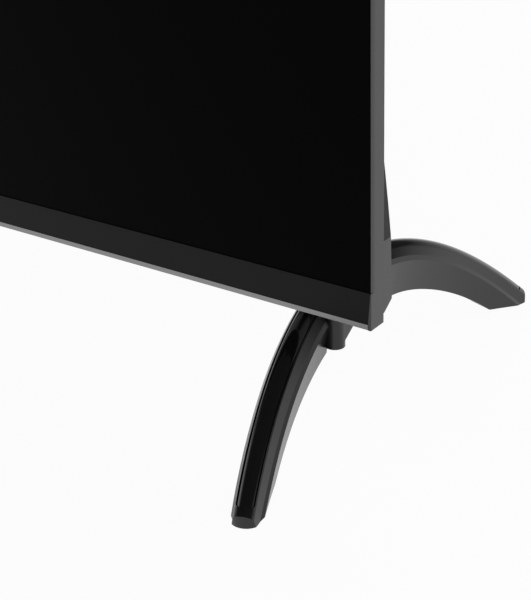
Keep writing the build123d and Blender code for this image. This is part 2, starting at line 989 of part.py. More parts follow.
# Circuit boards on pillars behind the back plate
def board_points(x, z):
    """Places of the four screws in the corners of a board."""
    return [
        (x[0] + board_hole_inset, z[0] + board_hole_inset),
        (x[1] - board_hole_inset, z[0] + board_hole_inset),
        (x[0] + board_hole_inset, z[1] - board_hole_inset),
        (x[1] - board_hole_inset, z[1] - board_hole_inset),
    ]


main_x = (main_board_left, main_board_left + main_board_width)
main_z = (base_z + main_board_bottom, base_z + main_board_bottom + main_board_height)
power_x = (power_board_right - power_board_width, power_board_right)
power_z = (base_z + power_board_bottom, base_z + power_board_bottom + power_board_height)
timing_x = (-timing_board_width / 2, timing_board_width / 2)
timing_z = (base_z + timing_board_bottom, base_z + timing_board_bottom + timing_board_height)
timing_front = plate_back + timing_standoff_height
timing_back = timing_front + board_thickness
boards = [
    ("main_board", main_x, main_z, board_front),
    ("power_board", power_x, power_z, board_front),
    ("timing_board", timing_x, timing_z, timing_front),
]
for board_name, x_limits, z_limits, front in boards:
    with BuildPart() as board:
        block(x_limits, (front, front + board_thickness), z_limits)
        for x, z in board_points(x_limits, z_limits):
            pin(
                x,
                (front - overrun, front + board_thickness + overrun),
                z,
                board_screw_hole / 2,
                Mode.SUBTRACT,
            )
    write(board, board_name)

screw_bite = board_screw_length - board_thickness
with BuildPart() as board_standoffs:
    for board_name, x_limits, z_limits, front in boards:
        for x, z in board_points(x_limits, z_limits):
            pin(x, (plate_back, front), z, standoff_diameter / 2)
            pin(
                x,
                (front - screw_bite - fit_gap, front + overrun),
                z,
                board_screw_bore / 2,
                Mode.SUBTRACT,
            )
write(board_standoffs, "board_standoffs")

with BuildPart() as board_screws:
    for board_name, x_limits, z_limits, front in boards:
        back = front + board_thickness
        for x, z in board_points(x_limits, z_limits):
            pin(x, (back - board_screw_length, back), z, board_screw_diameter / 2)
            pin(x, (back, back + board_screw_head_height), z, board_screw_head / 2)
write(board_screws, "board_screws")

# Finned heat sink over the processor
sink_x = main_x[0] + main_board_width * heat_sink_x_share
sink_z = main_z[0] + main_board_height * heat_sink_z_share
sink_half = heat_sink_size / 2
with BuildPart() as processor_heat_sink:
    block(
        (sink_x - sink_half, sink_x + sink_half),
        (board_back, board_back + heat_sink_base),
        (sink_z - sink_half, sink_z + sink_half),
    )
    fin_pitch = (heat_sink_size - heat_sink_fin) / (heat_sink_fin_count - 1)
    fin_middle_y = board_back + (heat_sink_base + heat_sink_height) / 2
    with Locations((sink_x, fin_middle_y, sink_z)):
        with GridLocations(fin_pitch, fin_pitch, heat_sink_fin_count, 1):
            Box(heat_sink_fin, heat_sink_height - heat_sink_base, heat_sink_size)
write(processor_heat_sink, "processor_heat_sink")


# Row of sockets: every mouth lies in the plane of the board's left edge and faces -X
def bar(x, y, z, radius, mode=Mode.ADD):
    """Add or cut a round bar along X between two limits."""
    with BuildSketch(Plane.YZ.offset(x[0])) as section:
        with Locations((y, z)):
            Circle(radius)
    extrude(section.sketch, amount=x[1] - x[0], mode=mode)


def centred(middle, size):
    """Limits of a given size about a middle."""
    return (middle - size / 2, middle + size / 2)


def shell_socket(z, width, depth, length, tongue_width, tongue):
    """Add a thin metal shell, open towards -X, with a tongue inside."""
    mouth = main_board_left
    inner_end = mouth + length - socket_wall
    middle_y = board_back + depth / 2
    block((mouth, mouth + length), (board_back, board_back + depth), centred(z, width))
    block(
        (mouth - overrun, inner_end),
        (board_back + socket_wall, board_back + depth - socket_wall),
        centred(z, width - socket_wall * 2),
        Mode.SUBTRACT,
    )
    block(
        (mouth + tongue_setback, inner_end),
        centred(middle_y, tongue),
        centred(z, tongue_width),
    )


socket_z = [main_z[0] + socket_first + index * socket_pitch for index in range(socket_count)]
video_z = socket_z[:video_count]
usb_z = socket_z[video_count : video_count + usb_count]
network_z, aerial_z, optical_z, audio_z = socket_z[video_count + usb_count :]
with BuildPart() as video_sockets:
    for z in video_z:
        shell_socket(
            z, video_width, video_depth, video_length, video_tongue_width, video_tongue
        )
write(video_sockets, "video_sockets")

with BuildPart() as usb_sockets:
    for z in usb_z:
        shell_socket(z, usb_width, usb_depth, usb_length, usb_tongue_width, usb_tongue)
write(usb_sockets, "usb_sockets")

network_y = board_back + network_depth / 2
with BuildPart() as network_socket:
    block(
        (main_board_left, main_board_left + network_length),
        (board_back, board_back + network_depth),
        centred(network_z, network_width),
    )
    block(
        (main_board_left - overrun, main_board_left + network_port_length),
        centred(network_y, network_port_depth),
        centred(network_z, network_port_width),
        Mode.SUBTRACT,
    )
write(network_socket, "network_socket")

aerial_y = board_back + aerial_flange / 2
with BuildPart() as aerial_socket:
    block(
        (main_board_left, main_board_left + aerial_flange_length),
        (board_back, board_back + aerial_flange),
        centred(aerial_z, aerial_flange),
    )
    bar(
        (main_board_left - aerial_barrel_length, main_board_left),
        aerial_y,
        aerial_z,
        aerial_barrel / 2,
    )
    bar(
        (main_board_left - aerial_barrel_length - overrun, main_board_left),
        aerial_y,
        aerial_z,
        aerial_bore / 2,
        Mode.SUBTRACT,
    )
write(aerial_socket, "aerial_socket")

optical_y = board_back + optical_depth / 2
audio_y = board_back + audio_depth / 2
with BuildPart() as audio_sockets:
    block(
        (main_board_left, main_board_left + optical_length),
        (board_back, board_back + optical_depth),
        centred(optical_z, optical_width),
    )
    block(
        (main_board_left - overrun, main_board_left + optical_setback),
        centred(optical_y, optical_port),
        centred(optical_z, optical_port),
        Mode.SUBTRACT,
    )
    block(
        (main_board_left, main_board_left + audio_length),
        (board_back, board_back + audio_depth),
        centred(audio_z, audio_width),
    )
    bar(
        (main_board_left - overrun, main_board_left + audio_bore_length),
        audio_y,
        audio_z,
        audio_bore / 2,
        Mode.SUBTRACT,
    )
write(audio_sockets, "audio_sockets")

# Plate round the sockets' mouths, set in the wall of its pocket
terminal_mouths = [
    (z, board_back + video_depth / 2, video_width - socket_wall, video_depth - socket_wall)
    for z in video_z
]
terminal_mouths += [
    (z, board_back + usb_depth / 2, usb_width - socket_wall, usb_depth - socket_wall)
    for z in usb_z
]
terminal_mouths += [
    (network_z, network_y, network_port_width + fit_gap, network_port_depth + fit_gap),
    (optical_z, optical_y, optical_port + fit_gap, optical_port + fit_gap),
]
with BuildPart() as terminal_plate:
    block(
        (terminal_x, terminal_x + terminal_thickness),
        (front_y + terminal_depth_low + touch_gap, front_y + terminal_depth_high - touch_gap),
        (main_z[0] + touch_gap * 2, main_z[1] - touch_gap * 2),
    )
    plate_cut = (terminal_x - overrun, terminal_x + terminal_thickness + overrun)
    for z, y, width, depth in terminal_mouths:
        block(plate_cut, centred(y, depth), centred(z, width), Mode.SUBTRACT)
    bar(plate_cut, aerial_y, aerial_z, aerial_barrel / 2 + fit_gap, Mode.SUBTRACT)
    bar(plate_cut, audio_y, audio_z, audio_bore / 2 + fit_gap, Mode.SUBTRACT)
write(terminal_plate, "terminal_plate")

# Mains inlet, its mouth flush with the wall of the right-hand pocket
with BuildPart() as mains_inlet:
    block(
        (mains_x - inlet_length, mains_x),
        (board_back, board_back + inlet_depth),
        centred(inlet_middle_z, inlet_width),
    )
    block(
        (mains_x - inlet_recess, mains_x + overrun),
        (board_back + inlet_wall, board_back + inlet_depth - inlet_wall),
        centred(inlet_middle_z, inlet_width - inlet_wall * 2),
        Mode.SUBTRACT,
    )
    for side in (-1, 1):
        bar(
            (mains_x - inlet_recess, mains_x - inlet_recess + inlet_pin_length),
            inlet_middle_y,
            inlet_middle_z + side * inlet_pin_spacing / 2,
            inlet_pin / 2,
        )
write(mains_inlet, "mains_inlet")

# Parts that stand on the power board
transformer_x = power_x[0] + power_board_width * transformer_x_share
transformer_z = power_z[0] + power_board_height * transformer_z_share
with BuildPart() as power_transformer:
    block(
        centred(transformer_x, transformer_width),
        (board_back, board_back + transformer_depth),
        centred(transformer_z, transformer_height - transformer_core),
    )
    block(
        centred(transformer_x, transformer_width - transformer_core),
        (board_back, board_back + transformer_depth - inlet_wall),
        centred(transformer_z, transformer_height),
    )
write(power_transformer, "power_transformer")

capacitor_x = power_x[0] + power_board_width * capacitor_x_share
capacitor_z = power_z[0] + power_board_height * capacitor_z_share
with BuildPart() as power_capacitors:
    for side in (-1, 1):
        pin(
            capacitor_x,
            (board_back, board_back + capacitor_length),
            capacitor_z + side * capacitor_spacing / 2,
            capacitor_diameter / 2,
        )
    rims = power_capacitors.edges().group_by(Axis.Y)[-1]
    fillet(rims, radius=capacitor_round)
write(power_capacitors, "power_capacitors")

with BuildPart() as power_heat_sink:
    block(
        centred(power_x[0] + power_board_width * power_sink_x_share, power_sink_thickness),
        (board_back, board_back + power_sink_depth),
        centred(power_z[0] + power_board_height * power_sink_z_share, power_sink_length),
    )
write(power_heat_sink, "power_heat_sink")

# Wireless module on the back plate, below the power board
wireless_z = (base_z + wireless_bottom, base_z + wireless_bottom + wireless_height)
with BuildPart() as wireless_module:
    block(
        centred(wireless_x, wireless_width),
        (plate_back, plate_back + wireless_board),
        wireless_z,
    )
    block(
        centred(wireless_x, wireless_width - wireless_shield_inset * 2),
        (plate_back + wireless_board, plate_back + wireless_board + wireless_shield_height),
        (wireless_z[0] + wireless_shield_inset, wireless_z[1] - wireless_shield_inset),
    )
write(wireless_module, "wireless_module")

# Flat ribbon from the timing board, along the back plate and up to the main board
ribbon_z = (timing_z[0] + ribbon_lift, timing_z[0] + ribbon_lift + ribbon_width)
ribbon_turn = timing_x[0] - fit_gap
ribbon_end = main_z[0] - fit_gap
ribbon_x = main_x[0] + ribbon_inset
ribbon_across = (ribbon_x, ribbon_x + ribbon_width)
with BuildPart() as timing_ribbon:
    block(
        (ribbon_turn - ribbon_thickness, timing_x[0] + ribbon_overlap),
        (timing_back, timing_back + ribbon_thickness),
        ribbon_z,
    )
    block(
        (ribbon_turn - ribbon_thickness, ribbon_turn),
        (plate_back, timing_back + ribbon_thickness),
        ribbon_z,
    )
    block((ribbon_x, ribbon_turn), (plate_back, plate_back + ribbon_thickness), ribbon_z)
    block(
        ribbon_across,
        (plate_back, plate_back + ribbon_thickness),
        (ribbon_z[0], ribbon_end),
    )
    block(
        ribbon_across,
        (plate_back, board_back + ribbon_thickness),
        (ribbon_end - ribbon_thickness, ribbon_end),
    )
    block(
        ribbon_across,
        (board_back, board_back + ribbon_thickness),
        (ribbon_end - ribbon_thickness, main_z[0] + ribbon_overlap),
    )
write(timing_ribbon, "timing_ribbon")

# Power lead between the two boards, dipping to the back plate through smooth bends
harness_z = base_z + harness_height
harness_high = board_back + harness_plug_height / 2
harness_low = plate_back + clip_wall + clip_gap + harness_diameter / 2
harness_fall = harness_high - harness_low
harness_turn = math.degrees(math.acos(1 - harness_fall / (harness_bend * 2)))
harness_plug_x = main_x[1] - harness_plug_inset
harness_plug_z = centred(harness_z, harness_plug_width)
harness_start = (harness_plug_x, harness_high)
far_plug_x = power_x[0] + harness_plug_inset
with BuildPart() as power_harness:
    with BuildLine(Plane.XY.offset(harness_z)) as harness_path:
        run_out = Line(
            harness_start,
            (harness_plug_x + harness_plug_inset + harness_run_out, harness_high),
        )
        down_one = JernArc(run_out @ 1, run_out % 1, harness_bend, -harness_turn)
        down_two = JernArc(down_one @ 1, down_one % 1, harness_bend, harness_turn)
        dip_run = (down_two @ 1).X - harness_plug_x
        level = Line(down_two @ 1, (far_plug_x - dip_run, harness_low))
        up_one = JernArc(level @ 1, level % 1, harness_bend, harness_turn)
        up_two = JernArc(up_one @ 1, up_one % 1, harness_bend, -harness_turn)
        Line(up_two @ 1, (far_plug_x, harness_high))
    with BuildSketch(Plane.YZ.offset(harness_plug_x)):
        with Locations((harness_high, harness_z)):
            Circle(harness_diameter / 2)
    sweep(path=harness_path.wires()[0])
    for plug_x in (harness_plug_x - harness_plug_length, far_plug_x):
        block(
            (plug_x, plug_x + harness_plug_length),
            (board_back, board_back + harness_plug_height),
            harness_plug_z,
        )
write(power_harness, "power_harness")

clip_radius = harness_diameter / 2 + clip_gap + clip_wall
with BuildPart() as harness_clips:
    for index in range(clip_count):
        middle = (index - (clip_count - 1) / 2) * clip_spacing
        clip_x = (middle - clip_width / 2, middle + clip_width / 2)
        bar(clip_x, harness_low, harness_z, clip_radius)
        block(clip_x, (plate_back, harness_low), centred(harness_z, clip_radius * 2))
        bar(clip_x, harness_low, harness_z, clip_radius - clip_wall, Mode.SUBTRACT)
write(harness_clips, "harness_clips")

# Threaded bushes for the wall mount, from the back plate to the outside of the rear cover
with BuildPart() as wall_mount_bushes:
    for x, z in mount_points:
        pin(x, (plate_back, box_back), z, bush_diameter / 2)
        pin(x, (box_back - bush_bore_depth, box_back + overrun), z, bush_bore / 2, Mode.SUBTRACT)
write(wall_mount_bushes, "wall_mount_bushes")

# Screws that hold the rear cover and the lower housing
with BuildPart() as cover_screws:
    screw_seats = [(x, z, cover_back) for x, z in cover_screw_points]
    screw_seats += [(x, z, band_back - housing_head_recess) for x, z in housing_screw_points]
    for x, z, seat in screw_seats:
        pin(x, (plate_back - cover_screw_bite, seat), z, cover_screw_diameter / 2)
        pin(x, (seat, seat + cover_head_height), z, cover_head_diameter / 2)
write(cover_screws, "cover_screws")

# Speakers: closed boxes on the floor of the housing with a driver facing down
speaker_floor = base_z + box_bottom + cover_wall
speaker_y = (front_y + speaker_front_depth, front_y + speaker_rear_depth)
speaker_limits = (
    centred(speaker_x, speaker_length),
    speaker_y,
    (speaker_floor, speaker_floor + speaker_height),
)
with BuildPart() as speaker_box:
    block(*speaker_limits)
    block(*widened(speaker_limits, -speaker_wall), mode=Mode.SUBTRACT)
    post(
        speaker_x,
        front_y + speaker_middle,
        (speaker_floor - overrun, speaker_floor + speaker_wall + touch_gap),
        driver_diameter / 2 + fit_gap,
        Mode.SUBTRACT,
    )
write_pair(speaker_box, "speaker_box")

driver_low = speaker_floor + fit_gap
flange_low = speaker_floor + speaker_wall
with BuildPart() as speaker_drivers:
    for side in (-1, 1):
        driver_y = front_y + speaker_middle
        cone_top = driver_low + driver_cone_depth
        post(
            side * speaker_x,
            driver_y,
            (flange_low, flange_low + driver_flange_thickness),
            driver_flange / 2,
        )
        with BuildSketch(Plane.XY.offset(driver_low)):
            with Locations((side * speaker_x, driver_y)):
                Circle(driver_diameter / 2)
        with BuildSketch(Plane.XY.offset(cone_top)):
            with Locations((side * speaker_x, driver_y)):
                Circle(driver_magnet / 2)
        loft()
        with BuildSketch(Plane.XY.offset(driver_low)):
            with Locations((side * speaker_x, driver_y)):
                Circle(driver_diameter / 2 - driver_dish_wall)
        with BuildSketch(Plane.XY.offset(cone_top - driver_dish_wall)):
            with Locations((side * speaker_x, driver_y)):
                Circle(driver_magnet / 2 - driver_dish_wall)
        loft(mode=Mode.SUBTRACT)
        post(
            side * speaker_x,
            driver_y,
            (cone_top, driver_low + driver_total_depth),
            driver_magnet / 2,
        )
write(speaker_drivers, "speaker_drivers")

# Brackets that stiffen the housing over the legs and carry the nuts
bracket_low = base_z + box_bottom + cover_wall
bracket_top = bracket_low + bracket_thickness
bracket_x = (side_x - bracket_left_inset, side_x - bracket_right_inset)
with BuildPart() as leg_bracket:
    with BuildSketch(Plane.XY.offset(bracket_low)):
        with BuildLine():
            Polyline(
                (bracket_x[0], plate_back),
                (bracket_x[1], plate_back),
                (bracket_x[1], front_y + bracket_corner_depth),
                (side_x - bracket_corner_inset, front_y + bracket_rear_depth),
                (bracket_x[0], front_y + bracket_rear_depth),
                close=True,
            )
        make_face()
    extrude(amount=bracket_thickness)
    block(
        bracket_x,
        (plate_back, plate_back + bracket_thickness),
        (bracket_low, bracket_low + bracket_height),
    )
    for x, y in leg_screw_points:
        block(
            centred(x, bracket_nut),
            centred(y, bracket_nut),
            (bracket_top, bracket_top + bracket_nut_height),
        )
        post(
            x,
            y,
            (bracket_low - overrun, bracket_top + bracket_nut_height + overrun),
            leg_screw_tap / 2,
            Mode.SUBTRACT,
        )
write_pair(leg_bracket, "leg_bracket")


# Legs: sections are drawn square to the leg's middle line and lofted from foot to foot
def leg_plane(share):
    """Plane square to the leg's middle line, its first axis level and across the leg."""
    step = 1 / leg_station_count**2
    ahead = Vector(*leg_line(share + step)) - Vector(*leg_line(share - step))
    across = ahead.cross(Vector(0, 0, 1)).normalized()
    return Plane(origin=leg_line(share), x_dir=across, z_dir=ahead.normalized())


def tapered(middle, tip, share):
    """A size that runs evenly from the middle of the leg to its tip."""
    return middle + (tip - middle) * share


def leg_loft(outline, crowned, mode=Mode.ADD):
    """Loft a section that changes along the leg through all its stations."""
    sections = []
    for index in range(leg_station_count):
        share = leg_overlength_share * (2 * index / (leg_station_count - 1) - 1)
        points = outline(abs(share))
        crown = tapered(leg_crown, leg_tip_crown, abs(share))
        with BuildSketch(leg_plane(share)) as section:
            with BuildLine():
                Polyline(*points)
                if crowned:
                    ThreePointArc(points[-1], (0, -crown), points[0])
                else:
                    Line(points[-1], points[0])
            make_face()
        sections.append(section.sketch.face())
    loft(sections, mode=mode)


def top_half_width(share):
    """Half the width of the leg's crowned top."""
    return tapered(leg_top_width, leg_tip_top_width, share) / 2


def leg_outline(share):
    """Section of the leg under its crown: sloping band, small edge, and a side that leans in."""
    half = top_half_width(share)
    right = [
        (half, 0),
        (
            half + tapered(leg_band_out, leg_tip_band_out, share),
            tapered(leg_band_down, leg_tip_band_down, share),
        ),
        (
            half + tapered(leg_edge_out, leg_tip_edge_out, share),
            tapered(leg_edge_down, leg_tip_edge_down, share),
        ),
        (
            tapered(leg_sole_width, leg_tip_sole_width, share) / 2,
            tapered(leg_height_middle, leg_height_tip, share),
        ),
    ]
    left = [(-across, down) for across, down in reversed(right)]
    return right + left


def recess_outline(share):
    """Section of the recess for the glossy strip, open through the crown."""
    half = top_half_width(share) - strip_border
    return [(half, -overrun), (half, strip_depth), (-half, strip_depth), (-half, -overrun)]


def strip_outline(share):
    """Section of the glossy strip under its crown."""
    half = top_half_width(share) - strip_border - strip_gap
    low = strip_depth - strip_gap
    return [(half, 0), (half, low), (-half, low), (-half, 0)]


def sole_height(y):
    """Height of the sole: level near the tip, then rising towards the middle of the leg."""
    return foot_tip_height + max(0, sole_bend_y - abs(y)) * sole_slope_share


def trim_soles():
    """Cut both soles along their planes."""
    with BuildSketch(Plane.YZ.offset(-far)) as section:
        with BuildLine():
            Polyline(
                (-far, -far),
                (-far, sole_height(far)),
                (-sole_bend_y, sole_height(sole_bend_y)),
                (0, sole_height(0)),
                (sole_bend_y, sole_height(sole_bend_y)),
                (far, sole_height(far)),
                (far, -far),
                close=True,
            )
        make_face()
    extrude(section.sketch, amount=far * 2, mode=Mode.SUBTRACT)


def foot_plane(end, back, height):
    """Level plane at a distance back from the end of a foot, its first axis along the foot."""
    share = end * (1 - back / leg_half_length)
    point = leg_line(share)
    ahead = Vector(*leg_line(share * leg_overlength_share)) - Vector(*point)
    level = Vector(ahead.X, ahead.Y, 0).normalized()
    return Plane(origin=(point[0], point[1], height), x_dir=level, z_dir=(0, 0, 1))


def round_tips(radius):
    """Cut both feet off along a half circle about the middle of the tip."""
    for end in (-1, 1):
        with BuildSketch(foot_plane(end, tip_round_back, -far)) as section:
            Rectangle(tip_cut, tip_cut, align=(Align.MIN, Align.CENTER))
            Circle(radius, mode=Mode.SUBTRACT)
        extrude(section.sketch, amount=far * 2, mode=Mode.SUBTRACT)


post_x = side_x - post_inset
post_y = front_y + post_depth
lug_x = (side_x - lug_inner_inset, side_x - post_inset + post_radius)
saddle_y = (front_y + saddle_front_depth, front_y + saddle_rear_depth)
saddle_x = leg_line(saddle_share)[0]
housing_floor = base_z + housing_rest
post_seat = base_z + post_top - leg_screw_roof
saddle_seat = housing_floor - leg_screw_roof
leg_seats = list(zip(leg_screw_points, (post_seat, saddle_seat)))
with BuildPart() as strip_recess:
    leg_loft(recess_outline, False)
    round_tips(strip_end_radius)

with BuildPart() as leg_body:
    with BuildSketch(Plane.YZ.offset(lug_x[0])):
        with BuildLine():
            Polyline(
                (post_y, base_z - lug_start_drop),
                (front_y + lug_end_depth, base_z - lug_end_drop),
                (front_y + lug_end_depth, housing_floor),
                (front_y + lug_step_depth, housing_floor),
                (front_y + lug_step_depth, base_z + post_top),
                (post_y, base_z + post_top),
                close=True,
            )
        make_face()
    extrude(amount=lug_x[1] - lug_x[0])
    block(
        (lug_x[0] - overrun, side_x - lug_shelf_inset),
        (post_y - overrun, front_y + lug_end_depth + overrun),
        (base_z - lug_shelf_drop, housing_floor + overrun),
        Mode.SUBTRACT,
    )
    leg_loft(leg_outline, True)
    post(post_x, post_y, (base_z - post_bottom, base_z + post_top), post_radius)
    add(strip_recess.part, mode=Mode.SUBTRACT)
    block(
        centred(saddle_x, saddle_width),
        saddle_y,
        (base_z - leg_apex_rise - saddle_sink, housing_floor),
    )
    for (x, y), seat in leg_seats:
        post(x, y, (0, seat), leg_head_bore / 2, Mode.SUBTRACT)
        post(x, y, (seat, housing_floor + overrun), leg_screw_hole / 2, Mode.SUBTRACT)
    trim_soles()
    round_tips(tip_round_radius)
    for end in (-1, 1):
        with BuildSketch(foot_plane(end, pad_back_from_tip, 0)):
            Rectangle(pad_length + pad_gap * 2, pad_width + pad_gap * 2)
        extrude(amount=pad_thickness + touch_gap, mode=Mode.SUBTRACT)
write_pair(leg_body, "leg_body")

with BuildPart() as leg_top_strip:
    leg_loft(strip_outline, True)
    round_tips(strip_end_radius - strip_gap)
    strip_cut = (saddle_y[0] - fit_gap, saddle_y[1] + fit_gap)
    block((-far, far), strip_cut, (-far, far), Mode.SUBTRACT)
write_pair(leg_top_strip, "leg_top_strip")

with BuildPart() as foot_pads:
    for end in (-1, 1):
        with BuildSketch(foot_plane(end, pad_back_from_tip, 0)):
            Rectangle(pad_length, pad_width)
        extrude(amount=pad_thickness)
    mirror(about=Plane.YZ)
write(foot_pads, "foot_pads")

with BuildPart() as leg_screws:
    screw_end = bracket_top + bracket_nut_height
    for (x, y), seat in leg_seats:
        for screw_x in (-x, x):
            post(screw_x, y, (seat, screw_end), leg_screw_diameter / 2)
            post(screw_x, y, (seat - leg_head_height, seat), leg_head_diameter / 2)
write(leg_screws, "leg_screws")

# Sensor housing under the middle of the bottom rail, with its window, board and switch
sensor_half = sensor_width / 2
sensor_y = (front_y + sensor_front_depth, front_y + sensor_rear_depth)
sensor_low = base_z - sensor_height
sensor_inner_y = (sensor_y[0] + sensor_wall, sensor_y[1] - sensor_wall)
inner_half = sensor_half - sensor_wall
window_z = base_z - sensor_height / 2
button_y = (sensor_y[0] + sensor_y[1]) / 2
lid_grip = sensor_wall / 4
with BuildPart() as sensor_housing:
    block((-sensor_half, sensor_half), sensor_y, (sensor_low, base_z))
    fillet(sensor_housing.edges().filter_by(Axis.Z), radius=sensor_round)
    block(
        (-inner_half, inner_half),
        sensor_inner_y,
        (sensor_low + sensor_wall, base_z),
        Mode.SUBTRACT,
    )
    block(
        centred(sensor_window_x, sensor_window_width),
        (sensor_y[0] - overrun, sensor_inner_y[0] + touch_gap),
        centred(window_z, sensor_window_height),
        Mode.SUBTRACT,
    )
    post(
        button_x,
        button_y,
        (sensor_low - overrun, sensor_low + sensor_wall + touch_gap),
        button_diameter / 2 + button_gap,
        Mode.SUBTRACT,
    )
    block(
        (-inner_half - lid_grip, inner_half + lid_grip),
        (frame_back + fit_gap, sensor_inner_y[1] + lid_grip),
        (base_z, base_z + sensor_lid),
    )
write(sensor_housing, "sensor_housing")

with BuildPart() as sensor_window:
    block(
        centred(sensor_window_x, sensor_window_width - touch_gap * 2),
        (sensor_y[0], sensor_inner_y[0]),
        centred(window_z, sensor_window_height - touch_gap * 2),
    )
write(sensor_window, "sensor_window")

board_low = base_z - sensor_board_drop - sensor_board_thickness
with BuildPart() as sensor_board:
    block(
        (-inner_half + fit_gap, inner_half - fit_gap),
        (sensor_inner_y[0] + fit_gap, sensor_inner_y[1] - fit_gap),
        (board_low, base_z - sensor_board_drop),
    )
write(sensor_board, "sensor_board")

with BuildPart() as tact_switch:
    block(
        centred(button_x, switch_size),
        centred(button_y, switch_size),
        (board_low - switch_height, board_low),
    )
    post(
        button_x,
        button_y,
        (board_low - switch_height - switch_plunger_height, board_low - switch_height),
        switch_plunger / 2,
    )
write(tact_switch, "tact_switch")

# Power button: a cap under the housing with a flange that rests on the housing's floor
flange_z = sensor_low + sensor_wall + button_seat_gap
with BuildPart() as power_button:
    post(
        button_x,
        button_y,
        (sensor_low - button_proud, flange_z + button_flange_height),
        button_diameter / 2,
    )
    post(button_x, button_y, (flange_z, flange_z + button_flange_height), button_flange / 2)
write(power_button, "power_button")
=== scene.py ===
"""Looks of a flat screen television on two arched legs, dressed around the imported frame.

Everything is in metres in the frame's own axes: +Z is up, the screen faces -Y and +X is to the
viewer's right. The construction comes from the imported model. This script gives every piece its
finish, replaces the legs' glossy strips by finer swept surfaces, and sets the stage, the light
and the camera.
"""

import logging
import math
from dataclasses import dataclass
from enum import Enum
from typing import Sequence

import bpy
import numpy as np
from mathutils import Matrix, Vector


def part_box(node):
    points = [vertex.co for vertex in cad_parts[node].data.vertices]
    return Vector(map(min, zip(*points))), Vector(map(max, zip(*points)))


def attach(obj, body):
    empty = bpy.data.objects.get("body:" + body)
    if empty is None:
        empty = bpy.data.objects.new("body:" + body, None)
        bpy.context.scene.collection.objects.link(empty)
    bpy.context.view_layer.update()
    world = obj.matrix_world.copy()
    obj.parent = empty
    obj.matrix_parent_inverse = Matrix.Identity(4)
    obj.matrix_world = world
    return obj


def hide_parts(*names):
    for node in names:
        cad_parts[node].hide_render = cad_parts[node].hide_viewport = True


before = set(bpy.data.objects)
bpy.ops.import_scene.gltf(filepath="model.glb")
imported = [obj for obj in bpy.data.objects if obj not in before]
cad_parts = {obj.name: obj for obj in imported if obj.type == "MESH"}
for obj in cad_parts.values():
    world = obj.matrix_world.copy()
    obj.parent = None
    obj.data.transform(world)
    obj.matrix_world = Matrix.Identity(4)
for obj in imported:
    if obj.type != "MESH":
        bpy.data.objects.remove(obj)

LOG = logging.getLogger("television")
# One millimetre in metres
MM = 0.001
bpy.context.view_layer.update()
TELEVISION = "television"
Array = np.ndarray

# Share of the roughness by which the grain lowers and raises it
ROUGH_SWING = 0.1
# A brushed grain's X is scaled by this, which draws its lines out fifty times
BRUSH_DRAW = 0.02
# Octaves of finer noise in a grain, in brushed lines and in patches of colour
GRAIN_OCTAVES = 2.0
LINE_OCTAVES = 3.0
PATCH_OCTAVES = 4.0
NOISE_ROUGHNESS = 0.55
# With its scale at six grains, a wave's light and dark bands are about one grain wide each
WAVE_GRAINS = 6
WAVE_BEND = 0.5
# Height above which a track's second colour shows
TRACK_LEVEL = 0.62
# Numbers of a Mix node's colour sockets: its two inputs and its output
MIX_A, MIX_B, MIXED = 6, 7, 2


# Colour and material nodes


def linear(code: str) -> tuple[float, float, float, float]:
    """Turn an sRGB hex value into the linear colour that a shader takes.

    The numbers are those of the sRGB standard's curve.

    Args:
        code: six hex digits, such as "1a1b1c".

    Returns:
        Red, green, blue and an alpha of 1.
    """
    parts = [int(code[i : i + 2], 16) / 255 for i in (0, 2, 4)]
    curve = [c / 12.92 if c <= 0.04045 else ((c + 0.055) / 1.055) ** 2.4 for c in parts]
    return (curve[0], curve[1], curve[2], 1.0)


class Grain(Enum):
    """How the surface of a finish was made."""

    SMOOTH = "smooth"
    MOULDED = "moulded"
    SPARKED = "spark eroded"
    BRUSHED = "brushed"
    BLASTED = "blasted"
    RIBBED = "ribbed"
    TRACKED = "tracked"
    SPANGLED = "spangled"


# Grains that are cells, with the smooth or plain distance that draws them
CELLS = {Grain.SPARKED: "SMOOTH_F1", Grain.SPANGLED: "F1"}


@dataclass(frozen=True)
class Finish:
    """One finish: what the surface is made of and how it was made.

    grain_mm is the size of the pattern's features and depth_mm its depth. spread is how far
    the colour wanders from place to place, as a share, and patch_mm how wide a patch is.
    second_colour is that of the highest places, such as tracks.
    """

    name: str
    slot: str
    colour: str
    roughness: float = 0.5
    metallic: float = 0.0
    specular: float = 0.5
    ior: float = 1.5
    coat: float = 0.0
    coat_roughness: float = 0.1
    transmission: float = 0.0
    grain: Grain = Grain.MOULDED
    grain_mm: float = 0.5
    depth_mm: float = 0.01
    spread: float = 0.12
    patch_mm: float = 40.0
    second_colour: str = ""


def node(
    tree: bpy.types.NodeTree,
    kind: str,
    values: dict[str | int, object] | None = None,
    links: dict[str | int, bpy.types.NodeSocket] | None = None,
    **settings: object,
) -> bpy.types.Node:
    """Add one node with its settings, socket values and links.

    Args:
        tree: the tree that the node goes into.
        kind: the node's type name without "ShaderNode".
        values: socket name or number to the value it keeps.
        links: socket name or number to the output that feeds it.
        settings: the node's own properties.

    Returns:
        The new node.
    """
    made = tree.nodes.new("ShaderNode" + kind)
    for key, value in settings.items():
        setattr(made, key, value)
    for key, value in (values or {}).items():
        made.inputs[key].default_value = value
    for key, socket in (links or {}).items():
        tree.links.new(socket, made.inputs[key])
    return made


